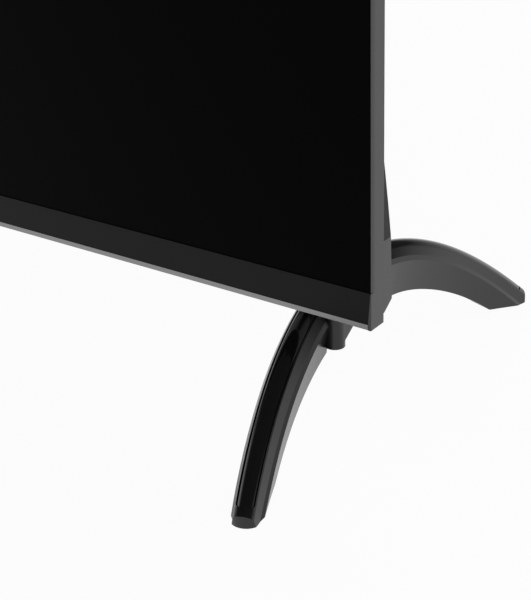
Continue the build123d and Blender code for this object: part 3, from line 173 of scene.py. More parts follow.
def scaled_noise(
    tree: bpy.types.NodeTree, size_mm: float, detail: float, stretch: Sequence[float] = (1, 1, 1)
) -> bpy.types.NodeSocket:
    """Noise on Object coordinates whose features are about size_mm wide.

    Args:
        tree: the material's tree.
        size_mm: width of a feature in millimetres.
        detail: octaves of finer noise.
        stretch: how much the coordinates are scaled along each axis.

    Returns:
        The noise's Fac output, from 0 to 1.
    """
    place = node(tree, "TexCoord")
    turned = node(
        tree, "Mapping", {"Scale": tuple(stretch)}, {"Vector": place.outputs["Object"]}
    )
    made = node(
        tree,
        "TexNoise",
        {"Scale": 1 / (size_mm * MM), "Detail": detail, "Roughness": NOISE_ROUGHNESS},
        {"Vector": turned.outputs["Vector"]},
    )
    return made.outputs["Fac"]


def grain_height(tree: bpy.types.NodeTree, finish: Finish) -> bpy.types.NodeSocket:
    """Height pattern of a finish's grain.

    Brushed lines run along X, a spark eroded or spangled surface is cells, a ribbed one is a
    wave, and the others are noise.

    Args:
        tree: the material's tree.
        finish: the finish whose grain and grain size are used.

    Returns:
        The output that drives the bump.
    """
    if finish.grain is Grain.BRUSHED:
        return scaled_noise(tree, finish.grain_mm, LINE_OCTAVES, (BRUSH_DRAW, 1.0, 1.0))
    if finish.grain in CELLS:
        place = node(tree, "TexCoord")
        made = node(
            tree,
            "TexVoronoi",
            {"Scale": 1 / (finish.grain_mm * MM)},
            {"Vector": place.outputs["Object"]},
            feature=CELLS[finish.grain],
        )
        return made.outputs["Distance"]
    if finish.grain is Grain.RIBBED:
        place = node(tree, "TexCoord")
        made = node(
            tree,
            "TexWave",
            {"Scale": 1 / (finish.grain_mm * MM * WAVE_GRAINS), "Distortion": WAVE_BEND},
            {"Vector": place.outputs["Object"]},
        )
        return made.outputs["Fac"]
    return scaled_noise(tree, finish.grain_mm, GRAIN_OCTAVES)


def grain_roughness(
    tree: bpy.types.NodeTree, height: bpy.types.NodeSocket, roughness: float
) -> bpy.types.NodeSocket:
    """Roughness that follows the grain, from a tenth below its middle to a tenth above.

    Args:
        tree: the material's tree.
        height: the grain, from 0 to 1.
        roughness: what the middle of the grain has.

    Returns:
        The roughness output, never above 1.
    """
    low, high = roughness * (1 - ROUGH_SWING), roughness * (1 + ROUGH_SWING)
    made = node(tree, "MapRange", {"To Min": low, "To Max": min(1.0, high)}, {"Value": height})
    return made.outputs["Result"]


def surface_colour(
    tree: bpy.types.NodeTree, finish: Finish, height: bpy.types.NodeSocket
) -> bpy.types.NodeSocket:
    """Colour of a finish, wandering a little between two tones from patch to patch.

    Args:
        tree: the material's tree.
        finish: gives the colour, its spread and the width of a patch.
        height: the grain, whose highest places take the second colour where there is one.

    Returns:
        The colour output.
    """
    base = linear(finish.colour)
    darker = tuple(c * (1 - finish.spread) for c in base[:3]) + (1.0,)
    lighter = tuple(min(1.0, c * (1 + finish.spread)) for c in base[:3]) + (1.0,)
    patches = scaled_noise(tree, finish.patch_mm, PATCH_OCTAVES)
    wandering = node(
        tree, "Mix", {MIX_A: darker, MIX_B: lighter}, {"Factor": patches}, data_type="RGBA"
    )
    if not finish.second_colour:
        return wandering.outputs[MIXED]
    track = node(tree, "Math", {1: TRACK_LEVEL}, {0: height}, operation="GREATER_THAN")
    mixed = node(
        tree,
        "Mix",
        {MIX_B: linear(finish.second_colour)},
        {"Factor": track.outputs[0], MIX_A: wandering.outputs[MIXED]},
        data_type="RGBA",
    )
    return mixed.outputs[MIXED]


def make_material(finish: Finish) -> bpy.types.Material:
    """Build the procedural material of a finish.

    Colour wanders from patch to patch, roughness follows the grain a little, and the grain
    itself is a bump. A metal keeps the default index of refraction.

    Args:
        finish: the finish to build.

    Returns:
        The material.
    """
    found = bpy.data.materials.get(finish.name)
    if found:
        return found
    material = bpy.data.materials.new(finish.name)
    material.use_nodes = True
    tree = material.node_tree
    shader = tree.nodes["Principled BSDF"]
    height = grain_height(tree, finish)
    tree.links.new(surface_colour(tree, finish, height), shader.inputs["Base Color"])
    rough = grain_roughness(tree, height, finish.roughness)
    tree.links.new(rough, shader.inputs["Roughness"])
    bump = node(
        tree,
        "Bump",
        {"Distance": finish.depth_mm * MM, "Strength": 1.0},
        {"Height": height},
    )
    tree.links.new(bump.outputs["Normal"], shader.inputs["Normal"])
    shader.inputs["Metallic"].default_value = finish.metallic
    if not finish.metallic:
        shader.inputs["IOR"].default_value = finish.ior
        shader.inputs["Specular IOR Level"].default_value = finish.specular
    shader.inputs["Coat Weight"].default_value = finish.coat
    shader.inputs["Coat Roughness"].default_value = finish.coat_roughness
    shader.inputs["Transmission Weight"].default_value = finish.transmission
    return material


# The finishes


# Aluminium extrusion, blasted and then anodised grey: the dyed layer scatters light as paint
# does, so it is an even satin grey and isn't drawn as bare metal
RAIL_ALUMINIUM = Finish(
    "satin_grey_anodised_aluminium", "dark_anodised_aluminium", "3e3e40",
    roughness=0.42, metallic=0.0, specular=0.5, grain=Grain.BLASTED, grain_mm=0.25,
    depth_mm=0.004, spread=0.05,
)
# Aluminium cut fine along its length: a bright strip that mirrors the floor softly
STRIP_ALUMINIUM = Finish(
    "fine_cut_aluminium_strip", "silver_aluminium", "8a8a8b",
    roughness=0.38, metallic=1.0, grain=Grain.BRUSHED, grain_mm=0.2, depth_mm=0.004, spread=0.04,
)
# ABS from a satin tool: an even black with very little shine
CHIN_PLASTIC = Finish(
    "satin_black_moulded_abs", "black_satin_plastic", "161616",
    roughness=0.45, specular=0.12, grain=Grain.MOULDED, grain_mm=0.3, depth_mm=0.004, spread=0.08,
)
# ABS from a spark eroded tool: a leathery black. Its grain is drawn coarser than such a tool
# leaves it, to show
COVER_PLASTIC = Finish(
    "spark_textured_black_abs", "black_textured_plastic", "1e1e1f",
    roughness=0.62, specular=0.4, grain=Grain.SPARKED, grain_mm=1.1, depth_mm=0.05, spread=0.1,
)
# ABS dyed grey, from a finely etched tool: even, with a broad soft shine
HOUSING_PLASTIC = Finish(
    "satin_grey_moulded_abs", "grey_satin_plastic", "48484a",
    roughness=0.5, specular=0.5, grain=Grain.MOULDED, grain_mm=0.4, depth_mm=0.008, spread=0.06,
)
# Glass filled plastic from a smooth tool: black, so its look is nearly all soft reflection
LEG_PLASTIC = Finish(
    "satin_black_leg_plastic", "leg_satin_plastic", "101011",
    roughness=0.26, specular=0.5, grain=Grain.MOULDED, grain_mm=0.25, depth_mm=0.003, spread=0.06,
)
# Polished ABS under a clear coat, piano black: sharp reflections with slow faint waves
LEG_GLOSS = Finish(
    "piano_black_abs", "leg_gloss_plastic", "0b0b0c",
    roughness=0.08, specular=0.5, coat=0.3, coat_roughness=0.05, grain=Grain.SMOOTH,
    grain_mm=12.0, depth_mm=0.004, spread=0.05,
)
# Moulded rubber: matt black, almost without shine
FOOT_RUBBER = Finish(
    "moulded_black_rubber", "black_rubber", "151515",
    roughness=0.75, specular=0.3, grain=Grain.MOULDED, grain_mm=0.6, depth_mm=0.03, spread=0.1,
)
# Hot dipped zinc on pressed steel: pale grey metal with spangles about 7 mm wide
ZINC_STEEL = Finish(
    "spangled_zinc_steel", "zinc_plated_steel", "a8abad",
    roughness=0.4, metallic=1.0, grain=Grain.SPANGLED, grain_mm=7.0, depth_mm=0.01, spread=0.1,
)
# Black zinc on steel screws: a dull dark metal
BLACK_SCREW = Finish(
    "black_zinc_screw_steel", "black_screw_steel", "1c1c1e",
    roughness=0.38, metallic=0.7, grain=Grain.BLASTED, grain_mm=0.3, depth_mm=0.01, spread=0.15,
)
# Turned brass: a warm metal with fine tool lines
BRASS = Finish(
    "turned_brass", "brass_bush", "b08d4a",
    roughness=0.32, metallic=1.0, grain=Grain.BRUSHED, grain_mm=0.2, depth_mm=0.008, spread=0.06,
)
# Moulded PBT, as connectors are: an even satin black
BLACK_PBT = Finish(
    "moulded_black_pbt", "black_connector_plastic", "121213",
    roughness=0.5, specular=0.4, grain=Grain.MOULDED, grain_mm=0.3, depth_mm=0.008, spread=0.1,
)
# Tin plate, drawn to a shell: bright, with faint lines
TIN_SHELL = Finish(
    "tin_plated_shell", "connector_steel", "b9bbbc",
    roughness=0.28, metallic=1.0, grain=Grain.BRUSHED, grain_mm=0.15, depth_mm=0.004, spread=0.06,
)
# Solder resist over copper: two greens, the copper standing a little proud. The tracks are
# drawn as patches about 2 mm wide, far coarser than real ones, to show
BOARD = Finish(
    "green_solder_resist", "green_circuit_board", "0f4a26",
    roughness=0.35, specular=0.5, coat=0.3, grain=Grain.TRACKED, grain_mm=2.2, depth_mm=0.035,
    spread=0.15, second_colour="1a6a38",
)
# Black anodised fins: dark, with a trace of metal
BLACK_FINS = Finish(
    "black_anodised_fins", "black_anodised_aluminium", "17171a",
    roughness=0.4, metallic=0.5, grain=Grain.BRUSHED, grain_mm=0.3, depth_mm=0.01, spread=0.1,
)
# Extruded aluminium, left plain: a pale metal with lines along it
PLAIN_ALUMINIUM = Finish(
    "plain_extruded_aluminium", "natural_aluminium", "b4b6b8",
    roughness=0.36, metallic=1.0, grain=Grain.BRUSHED, grain_mm=0.3, depth_mm=0.01, spread=0.06,
)
# White resist on an aluminium strip: clean, even white
WHITE_STRIP = Finish(
    "white_resist_on_aluminium", "led_substrate", "dcdcd6",
    roughness=0.45, grain=Grain.MOULDED, grain_mm=1.0, depth_mm=0.01, spread=0.03,
)
# Phosphor in clear resin: a glassy yellow
PHOSPHOR = Finish(
    "yellow_phosphor_resin", "led_phosphor", "d9c14a",
    roughness=0.25, grain=Grain.SMOOTH, grain_mm=0.6, depth_mm=0.01, spread=0.08,
)
# Polyimide film with copper tracks in it: two ambers. The tracks are drawn coarser than real
# ones, to show
AMBER_FILM = Finish(
    "amber_polyimide_film", "amber_film", "8a5a1e",
    roughness=0.22, grain=Grain.TRACKED, grain_mm=0.8, depth_mm=0.01, spread=0.1,
    second_colour="a9772e",
)
# Film over flat leads: white, with faint ribs where the leads lie
RIBBON_FILM = Finish(
    "white_ribbon_cable_film", "white_ribbon_film", "d4d6d8",
    roughness=0.4, grain=Grain.RIBBED, grain_mm=0.5, depth_mm=0.03, spread=0.05,
)
# Matt optical film: soft white with no highlight
DIFFUSER = Finish(
    "matt_optical_film", "white_diffuser_film", "e4e4e2",
    roughness=0.7, grain=Grain.SMOOTH, grain_mm=0.3, depth_mm=0.004, spread=0.02,
)
# Cast acrylic sheet: clear, with polished faces
ACRYLIC = Finish(
    "clear_cast_acrylic", "clear_acrylic", "e8eeee",
    roughness=0.08, ior=1.49, transmission=0.8, grain=Grain.SMOOTH, grain_mm=20.0,
    depth_mm=0.002, spread=0.02,
)
# Foamed white sheet: matt and very even
REFLECTOR = Finish(
    "white_foamed_sheet", "white_plastic", "ececea",
    roughness=0.6, grain=Grain.MOULDED, grain_mm=0.5, depth_mm=0.01, spread=0.02,
)
# Foam tape: a matt black full of pores
BLACK_TAPE = Finish(
    "black_foam_tape", "black_adhesive_tape", "101010",
    roughness=0.85, specular=0.2, grain=Grain.SPARKED, grain_mm=0.5, depth_mm=0.04, spread=0.12,
)
# Sintered ferrite: a brownish black, like fired clay
FERRITE = Finish(
    "sintered_ferrite", "ferrite_core", "2a2826",
    roughness=0.7, specular=0.3, grain=Grain.MOULDED, grain_mm=0.5, depth_mm=0.04, spread=0.15,
)
# PVC sleeve shrunk on a can: a shiny blue black
SLEEVE = Finish(
    "shrunk_pvc_sleeve", "capacitor_sleeve", "15171c",
    roughness=0.3, grain=Grain.SMOOTH, grain_mm=3.0, depth_mm=0.02, spread=0.08,
)
# Soft PVC insulation: satin black
INSULATION = Finish(
    "soft_pvc_insulation", "lead_insulation", "141414",
    roughness=0.5, specular=0.4, grain=Grain.MOULDED, grain_mm=0.6, depth_mm=0.02, spread=0.1,
)
# Unpigmented nylon: a warm, waxy white
NYLON = Finish(
    "natural_nylon", "nylon_clip", "d4d1c4",
    roughness=0.45, grain=Grain.MOULDED, grain_mm=0.5, depth_mm=0.01, spread=0.05,
)
# Polypropylene from a spark eroded tool: matt black, a little rough
SPEAKER_BOX = Finish(
    "matt_black_polypropylene", "speaker_box_plastic", "161616",
    roughness=0.7, specular=0.3, grain=Grain.SPARKED, grain_mm=0.8, depth_mm=0.03, spread=0.1,
)
# Coated cone paper: dark and fibrous, in small uneven patches
CONE_PAPER = Finish(
    "treated_cone_paper", "speaker_cone_paper", "26262a",
    roughness=0.85, specular=0.2, grain=Grain.MOULDED, grain_mm=0.7, depth_mm=0.05, spread=0.2,
    patch_mm=6.0,
)
# Polished acrylic dyed for infrared: nearly black, with a touch of red
SMOKED = Finish(
    "smoked_infrared_acrylic", "smoked_window", "12070a",
    roughness=0.08, specular=0.5, grain=Grain.SMOOTH, grain_mm=8.0, depth_mm=0.002, spread=0.05,
)


def dress(obj: bpy.types.Object, material: bpy.types.Material) -> None:
    """Give an object one material in place of all it has."""
    obj.data.materials.clear()
    obj.data.materials.append(material)


@dataclass(frozen=True)
class Construction:
    """A sub-assembly whose solids are carried over as they are, each with its finish."""

    name: str
    finishes: dict[str, Finish]

    def build(self) -> None:
        """Dress every solid of the sub-assembly."""
        for solid, finish in self.finishes.items():
            dress(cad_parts[solid], make_material(finish))
        LOG.info("dressed the %s, %d solids", self.name, len(self.finishes))


CONSTRUCTIONS = (
    Construction(
        "outer frame",
        {
            "frame_rail_right": RAIL_ALUMINIUM,
            "frame_rail_left": RAIL_ALUMINIUM,
            "frame_rail_top": RAIL_ALUMINIUM,
            "frame_rail_bottom": STRIP_ALUMINIUM,
            "corner_keys": ZINC_STEEL,
            "chin_cover": CHIN_PLASTIC,
        },
    ),
    Construction(
        "panel and backlight",
        {
            "panel_tape": BLACK_TAPE,
            "mould_frame": BLACK_PBT,
            "diffuser_film": DIFFUSER,
            "prism_film": DIFFUSER,
            "light_guide_plate": ACRYLIC,
            "reflector_sheet": REFLECTOR,
            "back_plate": ZINC_STEEL,
            "led_heat_spreader": PLAIN_ALUMINIUM,
            "led_bars": WHITE_STRIP,
            "leds": PHOSPHOR,
            "panel_flex_films": AMBER_FILM,
            "source_boards": BOARD,
            "timing_board": BOARD,
            "timing_ribbon": RIBBON_FILM,
        },
    ),
    Construction(
        "main board",
        {
            "main_board": BOARD,
            "processor_heat_sink": BLACK_FINS,
            "video_sockets": TIN_SHELL,
            "usb_sockets": TIN_SHELL,
            "network_socket": BLACK_PBT,
            "aerial_socket": TIN_SHELL,
            "audio_sockets": BLACK_PBT,
            "terminal_plate": COVER_PLASTIC,
            "wireless_module": TIN_SHELL,
            "board_standoffs": ZINC_STEEL,
            "board_screws": ZINC_STEEL,
        },
    ),
    Construction(
        "power supply",
        {
            "power_board": BOARD,
            "power_transformer": FERRITE,
            "power_capacitors": SLEEVE,
            "power_heat_sink": PLAIN_ALUMINIUM,
            "mains_inlet": BLACK_PBT,
            "power_harness": INSULATION,
            "harness_clips": NYLON,
        },
    ),
    Construction(
        "speakers",
        {
            "speaker_box_right": SPEAKER_BOX,
            "speaker_box_left": SPEAKER_BOX,
            "speaker_drivers": CONE_PAPER,
        },
    ),
    Construction(
        "rear cover",
        {
            "rear_cover": COVER_PLASTIC,
            "lower_housing": HOUSING_PLASTIC,
            "cover_screws": BLACK_SCREW,
            "wall_mount_bushes": BRASS,
        },
    ),
    Construction(
        "legs",
        {
            "leg_body_right": LEG_PLASTIC,
            "leg_body_left": LEG_PLASTIC,
            "leg_top_strip_right": LEG_GLOSS,
            "leg_top_strip_left": LEG_GLOSS,
            "leg_bracket_right": ZINC_STEEL,
            "leg_bracket_left": ZINC_STEEL,
            "leg_screws": BLACK_SCREW,
            "foot_pads": FOOT_RUBBER,
        },
    ),
    Construction(
        "sensor and button",
        {
            "sensor_housing": CHIN_PLASTIC,
            "sensor_window": SMOKED,
            "sensor_board": BOARD,
            "tact_switch": BLACK_PBT,
            "power_button": CHIN_PLASTIC,
        },
    ),
)


# The screen


@dataclass(frozen=True)
class ScreenFinish:
    """The switched-off panel: black glass under an anti-glare film.

    The film scatters what it mirrors, so the black is even and dull, and what lies under the
    glass, the picture's black mask among it, doesn't show.
    """

    colour: str = "030303"
    roughness: float = 0.34
    specular: float = 0.02
    film_grain_mm: float = 0.12
    film_depth_mm: float = 0.002

    def make(self) -> bpy.types.Material:
        """Build the panel's material, whose grain is the film's.

        Returns:
            The material.
        """
        material = bpy.data.materials.new("anti_glare_panel_glass")
        material.use_nodes = True
        tree = material.node_tree
        shader = tree.nodes["Principled BSDF"]
        shader.inputs["Base Color"].default_value = linear(self.colour)
        shader.inputs["Specular IOR Level"].default_value = self.specular
        film = scaled_noise(tree, self.film_grain_mm, GRAIN_OCTAVES)
        bump = node(tree, "Bump", {"Distance": self.film_depth_mm * MM}, {"Height": film})
        tree.links.new(bump.outputs["Normal"], shader.inputs["Normal"])
        rough = grain_roughness(tree, film, self.roughness)
        tree.links.new(rough, shader.inputs["Roughness"])
        return material


@dataclass
class Screen:
    """The panel in the front of the set."""

    finish: ScreenFinish = ScreenFinish()

    def build(self) -> None:
        """Dress the panel's solid."""
        dress(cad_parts["lcd_panel"], self.finish.make())
        LOG.info("dressed the panel")


# Surfaces made with numpy


def tube_faces(rows: int, columns: int) -> list[tuple[int, ...]]:
    """Quads between neighbouring rings, closed round each ring.

    With n points in a ring, the quad at row r and column c joins the points r n + c,
    r n + c', (r + 1) n + c' and (r + 1) n + c, where c' is the column after c, round the ring.

    Args:
        rows: number of rings.
        columns: points in a ring.

    Returns:
        The point numbers of each quad.
    """
    low = np.arange(rows - 1)[:, None] * columns
    here = np.arange(columns)[None, :]
    following = (here + 1) % columns
    corners = (low + here, low + following, low + columns + following, low + columns + here)
    return [tuple(quad) for quad in np.stack(corners, axis=-1).reshape(-1, 4).tolist()]


def make_piece(
    name: str,
    points: Array,
    faces: Sequence[tuple[int, ...]],
    flat: Sequence[int],
    finish: Finish,
    solid: str,
) -> None:
    """Turn points and faces into a smooth piece that stands for a solid of the television.

    Args:
        name: the object's name.
        points: vertices in metres, in the frame's axes.
        faces: vertex numbers of each face.
        flat: faces that stay flat, such as the ends of a sweep.
        finish: what the piece is made of.
        solid: the node that the piece stands for.
    """
    mesh = bpy.data.meshes.new(name)
    mesh.from_pydata(np.asarray(points, float).reshape(-1, 3).tolist(), [], list(faces))
    smooth = np.ones(len(faces), bool)
    smooth[list(flat)] = False
    mesh.polygons.foreach_set("use_smooth", smooth)
    mesh.update()
    piece = bpy.data.objects.new(name, mesh)
    bpy.context.scene.collection.objects.link(piece)
    dress(piece, make_material(finish))
    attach(piece, TELEVISION)
    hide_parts(solid)


def closed_sweep(rings: Array, turned: bool) -> tuple[Array, list[tuple[int, ...]], list[int]]:
    """Points and faces of a sweep through rings, closed by a flat face at each end.

    Args:
        rings: points of shape (stations, columns, 3).
        turned: true where the faces have to be turned inside out.

    Returns:
        The points, the faces and the numbers of the two end faces.
    """
    rows, columns = rings.shape[:2]
    faces = tube_faces(rows, columns)
    faces.append(tuple(reversed(range(columns))))
    faces.append(tuple(range((rows - 1) * columns, rows * columns)))
    if turned:
        faces = [tuple(reversed(face)) for face in faces]
    return rings.reshape(-1, 3), faces, [len(faces) - 2, len(faces) - 1]


# Legs


@dataclass(frozen=True)
class Taper:
    """A size in millimetres that runs evenly from the middle of the leg to its tips."""

    middle: float
    tip: float

    def at(self, share: Array) -> Array:
        """The size in metres at shares of the half length."""
        return (self.middle + (self.tip - self.middle) * np.abs(share)) * MM


@dataclass(frozen=True)
class LegForm:
    """Middle line and strip section of the right-hand leg, with the sizes of the solid one."""

    side_x: float
    base_z: float
    inset: float = 45.6 * MM
    rise: float = 2.0 * MM
    half_length: float = 144.0 * MM
    drop: float = 77.4 * MM
    bow: float = 30.3 * MM
    bow_power: float = 1.97
    top_width: Taper = Taper(12.7, 9.6)
    crown: Taper = Taper(2.2, 3.1)
    border: float = 0.6 * MM
    edge_soft: float = 0.25 * MM
    edge_power: float = 12.0
    strip_depth: float = 1.4 * MM
    tip_back: float = 16.0 * MM
    tip_radius: float = 4.9 * MM
    crown_points: int = 25
    # Steps in the share for slopes along the line and for its shadow on the floor
    slope_step: float = 1e-4
    shadow_step: float = 1e-3
    # The square of the half circle is kept above this, so the strip's last ring isn't a point
    least_round: float = 1e-4

    def line(self, share: Array) -> Array:
        """Middle line of the leg's top for shares u from -1 to 1.

        x = side - inset + bow |u|^power, y = half_length u, z = base + rise - drop u^2.

        Args:
            share: the shares u.

        Returns:
            Points of shape (shares, 3).
        """
        x = self.side_x - self.inset + self.bow * np.abs(share) ** self.bow_power
        z = self.base_z + self.rise - self.drop * share**2
        return np.stack([x, self.half_length * share, z], axis=-1)

    def axes(self, share: Array) -> tuple[Array, Array]:
        """Unit directions across and down, square to the middle line.

        With a the direction of travel, across = a x Z made a unit, and down = a x across.

        Args:
            share: shares along the line.

        Returns:
            The directions across and down, each of shape (shares, 3).
        """
        ahead = self.line(share + self.slope_step) - self.line(share - self.slope_step)
        ahead /= np.linalg.norm(ahead, axis=1, keepdims=True)
        across = np.cross(ahead, (0.0, 0.0, 1.0))
        across /= np.linalg.norm(across, axis=1, keepdims=True)
        return across, np.cross(ahead, across)

    def tip_share(self) -> float:
        """Share of the half length at which the middle of the rounded tip lies."""
        return 1.0 - self.tip_back / self.half_length

    def strip_end(self) -> float:
        """Share at which the strip's rounded end comes furthest out.

        The tip's radius lies level, so it is divided by the length of the path's shadow on
        the floor for a whole share.

        Returns:
            The share.
        """
        share = np.array([self.tip_share(), self.tip_share() + self.shadow_step])
        shadow = np.diff(self.line(share)[:, :2], axis=0)[0] / self.shadow_step
        return self.tip_share() + self.tip_radius / float(np.linalg.norm(shadow))

    def place(self, share: Array, outline: Array) -> Array:
        """Put outlines of (across, down) pairs at shares along the leg.

        P = line(u) + s across(u) + d down(u) for every pair (s, d) of the outline at u.

        Args:
            share: where each outline goes.
            outline: outlines of shape (shares, points, 2).

        Returns:
            Points of shape (shares, points, 3).
        """
        across, down = self.axes(share)
        return (
            self.line(share)[:, None]
            + outline[..., :1] * across[:, None]
            + outline[..., 1:] * down[:, None]
        )

    def strip_outline(self, share: Array) -> Array:
        """Section of the glossy strip: crown above, a soft edge, and a flat underneath.

        With w half the strip's full width and q from -1 to 1 across it, the crown is
        d = h ((s/w)^2 - 1) + e |q|^n, where e and n make the edge soft. Towards the tip the
        strip narrows as the half circle sqrt(1 - t^2), where t runs from 0 at the middle of
        the tip to 1 at its end.

        Args:
            share: shares along the leg.

        Returns:
            Outlines of (across, down) pairs, of shape (shares, crown_points + 2, 2).
        """
        full = self.top_width.at(share) / 2 - self.border
        t = (np.abs(share) - self.tip_share()) / (self.strip_end() - self.tip_share())
        narrowed = self.tip_radius * np.sqrt(np.clip(1 - t**2, self.least_round, 1.0))
        half = np.where(t > 0, np.minimum(full, narrowed), full)
        q = np.linspace(-1, 1, self.crown_points)[None, :]
        s = q * half[:, None]
        rise = self.crown.at(share)[:, None] * ((s / full[:, None]) ** 2 - 1)
        crown = np.stack([s, rise + self.edge_soft * np.abs(q) ** self.edge_power], axis=-1)
        low = np.full_like(half, self.strip_depth)
        below = np.stack([np.stack([half, low], axis=-1), np.stack([-half, low], axis=-1)], axis=1)
        return np.concatenate([crown, below], axis=1)


@dataclass
class Leg:
    """The glossy strip of one leg, in two lengths, in front of and behind the saddle."""

    form: LegForm
    side: str
    stations: int = 97
    tip_stations: int = 25
    saddle_front: float = -29.7 * MM
    saddle_back: float = -7.1 * MM

    def shares(self, inner: float) -> Array:
        """Shares from the saddle outwards, closer together round the tip.

        Round the tip they are middle + (end - middle) sin(a) for a from 0 to a right angle.

        Args:
            inner: share at which the strip leaves the saddle.

        Returns:
            The shares, rising.
        """
        tip, end = self.form.tip_share(), self.form.strip_end()
        straight = np.linspace(inner, tip, self.stations)[:-1]
        round_end = tip + (end - tip) * np.sin(np.linspace(0, np.pi / 2, self.tip_stations))
        return np.concatenate([straight, round_end])

    def build(self) -> None:
        """Sweep both lengths and let them replace the solid strip."""
        sign = -1.0 if self.side == "left" else 1.0
        length = self.form.half_length
        spans = {
            "front": -self.shares(-self.saddle_front / length)[::-1],
            "rear": self.shares(self.saddle_back / length),
        }
        for end, share in spans.items():
            rings = self.form.place(share, self.form.strip_outline(share))
            rings = rings * np.array([sign, 1.0, 1.0])
            points, faces, ends = closed_sweep(rings, sign < 0)
            name = f"leg_gloss_strip_{self.side}_{end}"
            solid = "leg_top_strip_" + self.side
            make_piece(name, points, faces, ends, LEG_GLOSS, solid)
        LOG.info("built the %s leg's glossy strips", self.side)


# Stage, light and camera


@dataclass(frozen=True)
class Softbox:
    """A square lamp that looks at the set: where it stands, its side and its power in watts."""

    name: str
    place: tuple[float, float, float]
    side: float
    power: float


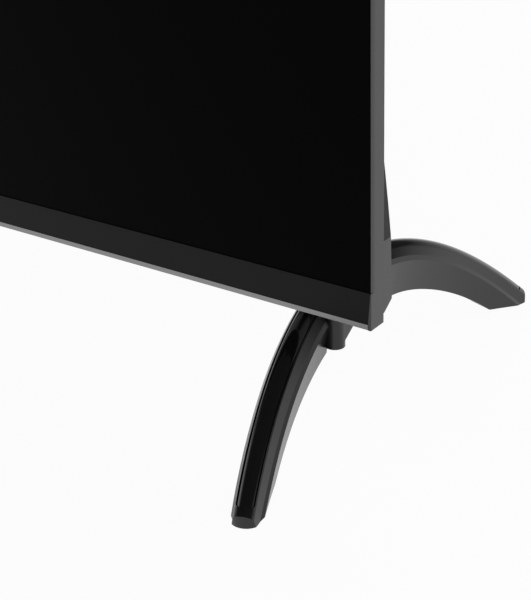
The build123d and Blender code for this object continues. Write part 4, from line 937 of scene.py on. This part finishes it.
@dataclass
class Stage:
    """Plain pale floor and backdrop, soft studio light, and the photograph's camera."""

    camera_place: tuple[float, float, float] = (0.90628, -0.52983, 0.35375)
    azimuth: float = 36.51
    elevation: float = 25.90
    roll: float = -2.13
    focal_pixels: float = 1387.5
    long_side_pixels: float = 600.0
    sensor_mm: float = 36.0
    clip_start: float = 0.02
    clip_end: float = 100.0
    floor_size: float = 30.0
    floor_colour: str = "f0f0f0"
    # Share of plain white in the floor that the eye sees, the rest being its light and shadow
    floor_glow: float = 0.95
    # Strength of the light from all round
    ambient: float = 0.45
    # What is mirrored is white at the horizon and falls to overhead at this height, a sine
    horizon_top: float = 0.3
    overhead: float = 0.06
    # The point that the lamps look at
    aim: tuple[float, float, float] = (0.0, 0.0, 0.3)
    softboxes: tuple[Softbox, ...] = (
        Softbox("key_softbox", (2.6, -2.2, 3.0), 2.4, 26.0),
        Softbox("side_softbox", (3.2, 2.4, 1.0), 2.2, 52.0),
        Softbox("rear_softbox", (-2.4, 3.4, 2.6), 2.6, 34.0),
    )

    def build(self) -> None:
        """Make the floor, the world, the lamps and the camera."""
        self.floor()
        self.world()
        for softbox in self.softboxes:
            self.lamp(softbox)
        self.camera()
        LOG.info("built the stage with %d softboxes", len(self.softboxes))

    def floor(self) -> None:
        """A level floor just under the feet."""
        half = self.floor_size / 2
        corners = [(-half, -half, 0), (half, -half, 0), (half, half, 0), (-half, half, 0)]
        mesh = bpy.data.meshes.new("pale_floor")
        mesh.from_pydata(corners, [], [(0, 1, 2, 3)])
        floor = bpy.data.objects.new("pale_floor", mesh)
        bpy.context.scene.collection.objects.link(floor)
        material = bpy.data.materials.new("white_paper_sweep")
        material.use_nodes = True
        tree = material.node_tree
        tree.nodes.clear()
        rays = node(tree, "LightPath")
        paper = node(tree, "BsdfDiffuse", {"Color": linear(self.floor_colour)})
        glow = node(tree, "Emission", {"Color": (1, 1, 1, 1), "Strength": 1.0})
        seen = self.seen(tree, rays)
        share = node(tree, "Math", {1: self.floor_glow}, {0: seen}, operation="MULTIPLY")
        mix = node(
            tree,
            "MixShader",
            {},
            {0: share.outputs[0], 1: paper.outputs[0], 2: glow.outputs[0]},
        )
        node(tree, "OutputMaterial", {}, {0: mix.outputs[0]})
        dress(floor, material)

    def seen(self, tree: bpy.types.NodeTree, rays: bpy.types.Node) -> bpy.types.NodeSocket:
        """Tell the rays that see the floor from those that light it.

        Args:
            tree: the floor material's tree.
            rays: its Light Path node.

        Returns:
            1 for camera, glossy and transmission rays, and 0 for the rest.
        """
        first = node(
            tree, "Math", {}, {0: rays.outputs["Is Camera Ray"], 1: rays.outputs["Is Glossy Ray"]},
            operation="MAXIMUM",
        )
        both = node(
            tree, "Math", {}, {0: first.outputs[0], 1: rays.outputs["Is Transmission Ray"]},
            operation="MAXIMUM",
        )
        return both.outputs[0]

    def world(self) -> None:
        """White all round for the eye, dimmer as light, and in reflections dark overhead."""
        world = bpy.data.worlds.new("studio")
        bpy.context.scene.world = world
        world.use_nodes = True
        tree = world.node_tree
        tree.nodes.clear()
        rays = node(tree, "LightPath")
        place = node(tree, "TexCoord")
        axes = node(tree, "SeparateXYZ", {}, {0: place.outputs["Generated"]})
        overhead = node(
            tree,
            "MapRange",
            {"From Max": self.horizon_top, "To Min": 1.0, "To Max": self.overhead},
            {"Value": axes.outputs["Z"]},
        )
        ambient = node(tree, "Background", {"Color": (1, 1, 1, 1), "Strength": self.ambient})
        mirrored = node(
            tree, "Background", {"Color": (1, 1, 1, 1)}, {"Strength": overhead.outputs[0]}
        )
        white = node(tree, "Background", {"Color": (1, 1, 1, 1), "Strength": 1.0})
        first = node(
            tree,
            "MixShader",
            {},
            {0: rays.outputs["Is Glossy Ray"], 1: ambient.outputs[0], 2: mirrored.outputs[0]},
        )
        clear = node(
            tree, "Math", {},
            {0: rays.outputs["Is Camera Ray"], 1: rays.outputs["Is Transmission Ray"]},
            operation="MAXIMUM",
        )
        second = node(
            tree, "MixShader", {}, {0: clear.outputs[0], 1: first.outputs[0], 2: white.outputs[0]}
        )
        node(tree, "OutputWorld", {}, {0: second.outputs[0]})

    def lamp(self, softbox: Softbox) -> None:
        """Add a lamp that mirroring surfaces don't show, so they show the studio alone.

        Args:
            softbox: the lamp's name, place, side and power.
        """
        data = bpy.data.lights.new(softbox.name, "AREA")
        data.shape = "SQUARE"
        data.size = softbox.side
        data.energy = softbox.power
        lamp = bpy.data.objects.new(softbox.name, data)
        bpy.context.scene.collection.objects.link(lamp)
        lamp.location = softbox.place
        lamp.visible_glossy = False
        lamp.rotation_mode = "QUATERNION"
        towards = Vector(self.aim) - Vector(softbox.place)
        lamp.rotation_quaternion = towards.to_track_quat("-Z", "Y")

    def camera(self) -> None:
        """The camera solved from the photograph, with no shift."""
        turn, lift, roll = (math.radians(a) for a in (self.azimuth, self.elevation, self.roll))
        ahead = Vector(
            (-math.sin(turn) * math.cos(lift), math.cos(turn) * math.cos(lift), -math.sin(lift))
        )
        level = Vector((math.cos(turn), math.sin(turn), 0))
        upward = level.cross(ahead)
        right = level * math.cos(roll) + upward * math.sin(roll)
        up = upward * math.cos(roll) - level * math.sin(roll)
        data = bpy.data.cameras.new("photograph_camera")
        data.sensor_fit = "AUTO"
        data.sensor_width = self.sensor_mm
        data.lens = self.focal_pixels * self.sensor_mm / self.long_side_pixels
        data.clip_start = self.clip_start
        data.clip_end = self.clip_end
        camera = bpy.data.objects.new("photograph_camera", data)
        bpy.context.scene.collection.objects.link(camera)
        axes = Matrix((right, up, -ahead)).transposed()
        camera.matrix_world = Matrix.Translation(Vector(self.camera_place)) @ axes.to_4x4()
        bpy.context.scene.camera = camera


def main() -> None:
    """Build every sub-assembly in order and report it."""
    logging.basicConfig(level=logging.INFO, format="%(name)s: %(message)s")
    bpy.context.scene.view_settings.view_transform = "Standard"
    Stage().build()
    for construction in CONSTRUCTIONS:
        construction.build()
    Screen().build()
    right_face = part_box("frame_rail_right")[1].x
    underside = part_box("frame_rail_bottom")[0].z
    form = LegForm(side_x=right_face, base_z=underside)
    for side in ("right", "left"):
        Leg(form, side).build()


if __name__ == "__main__":
    main()
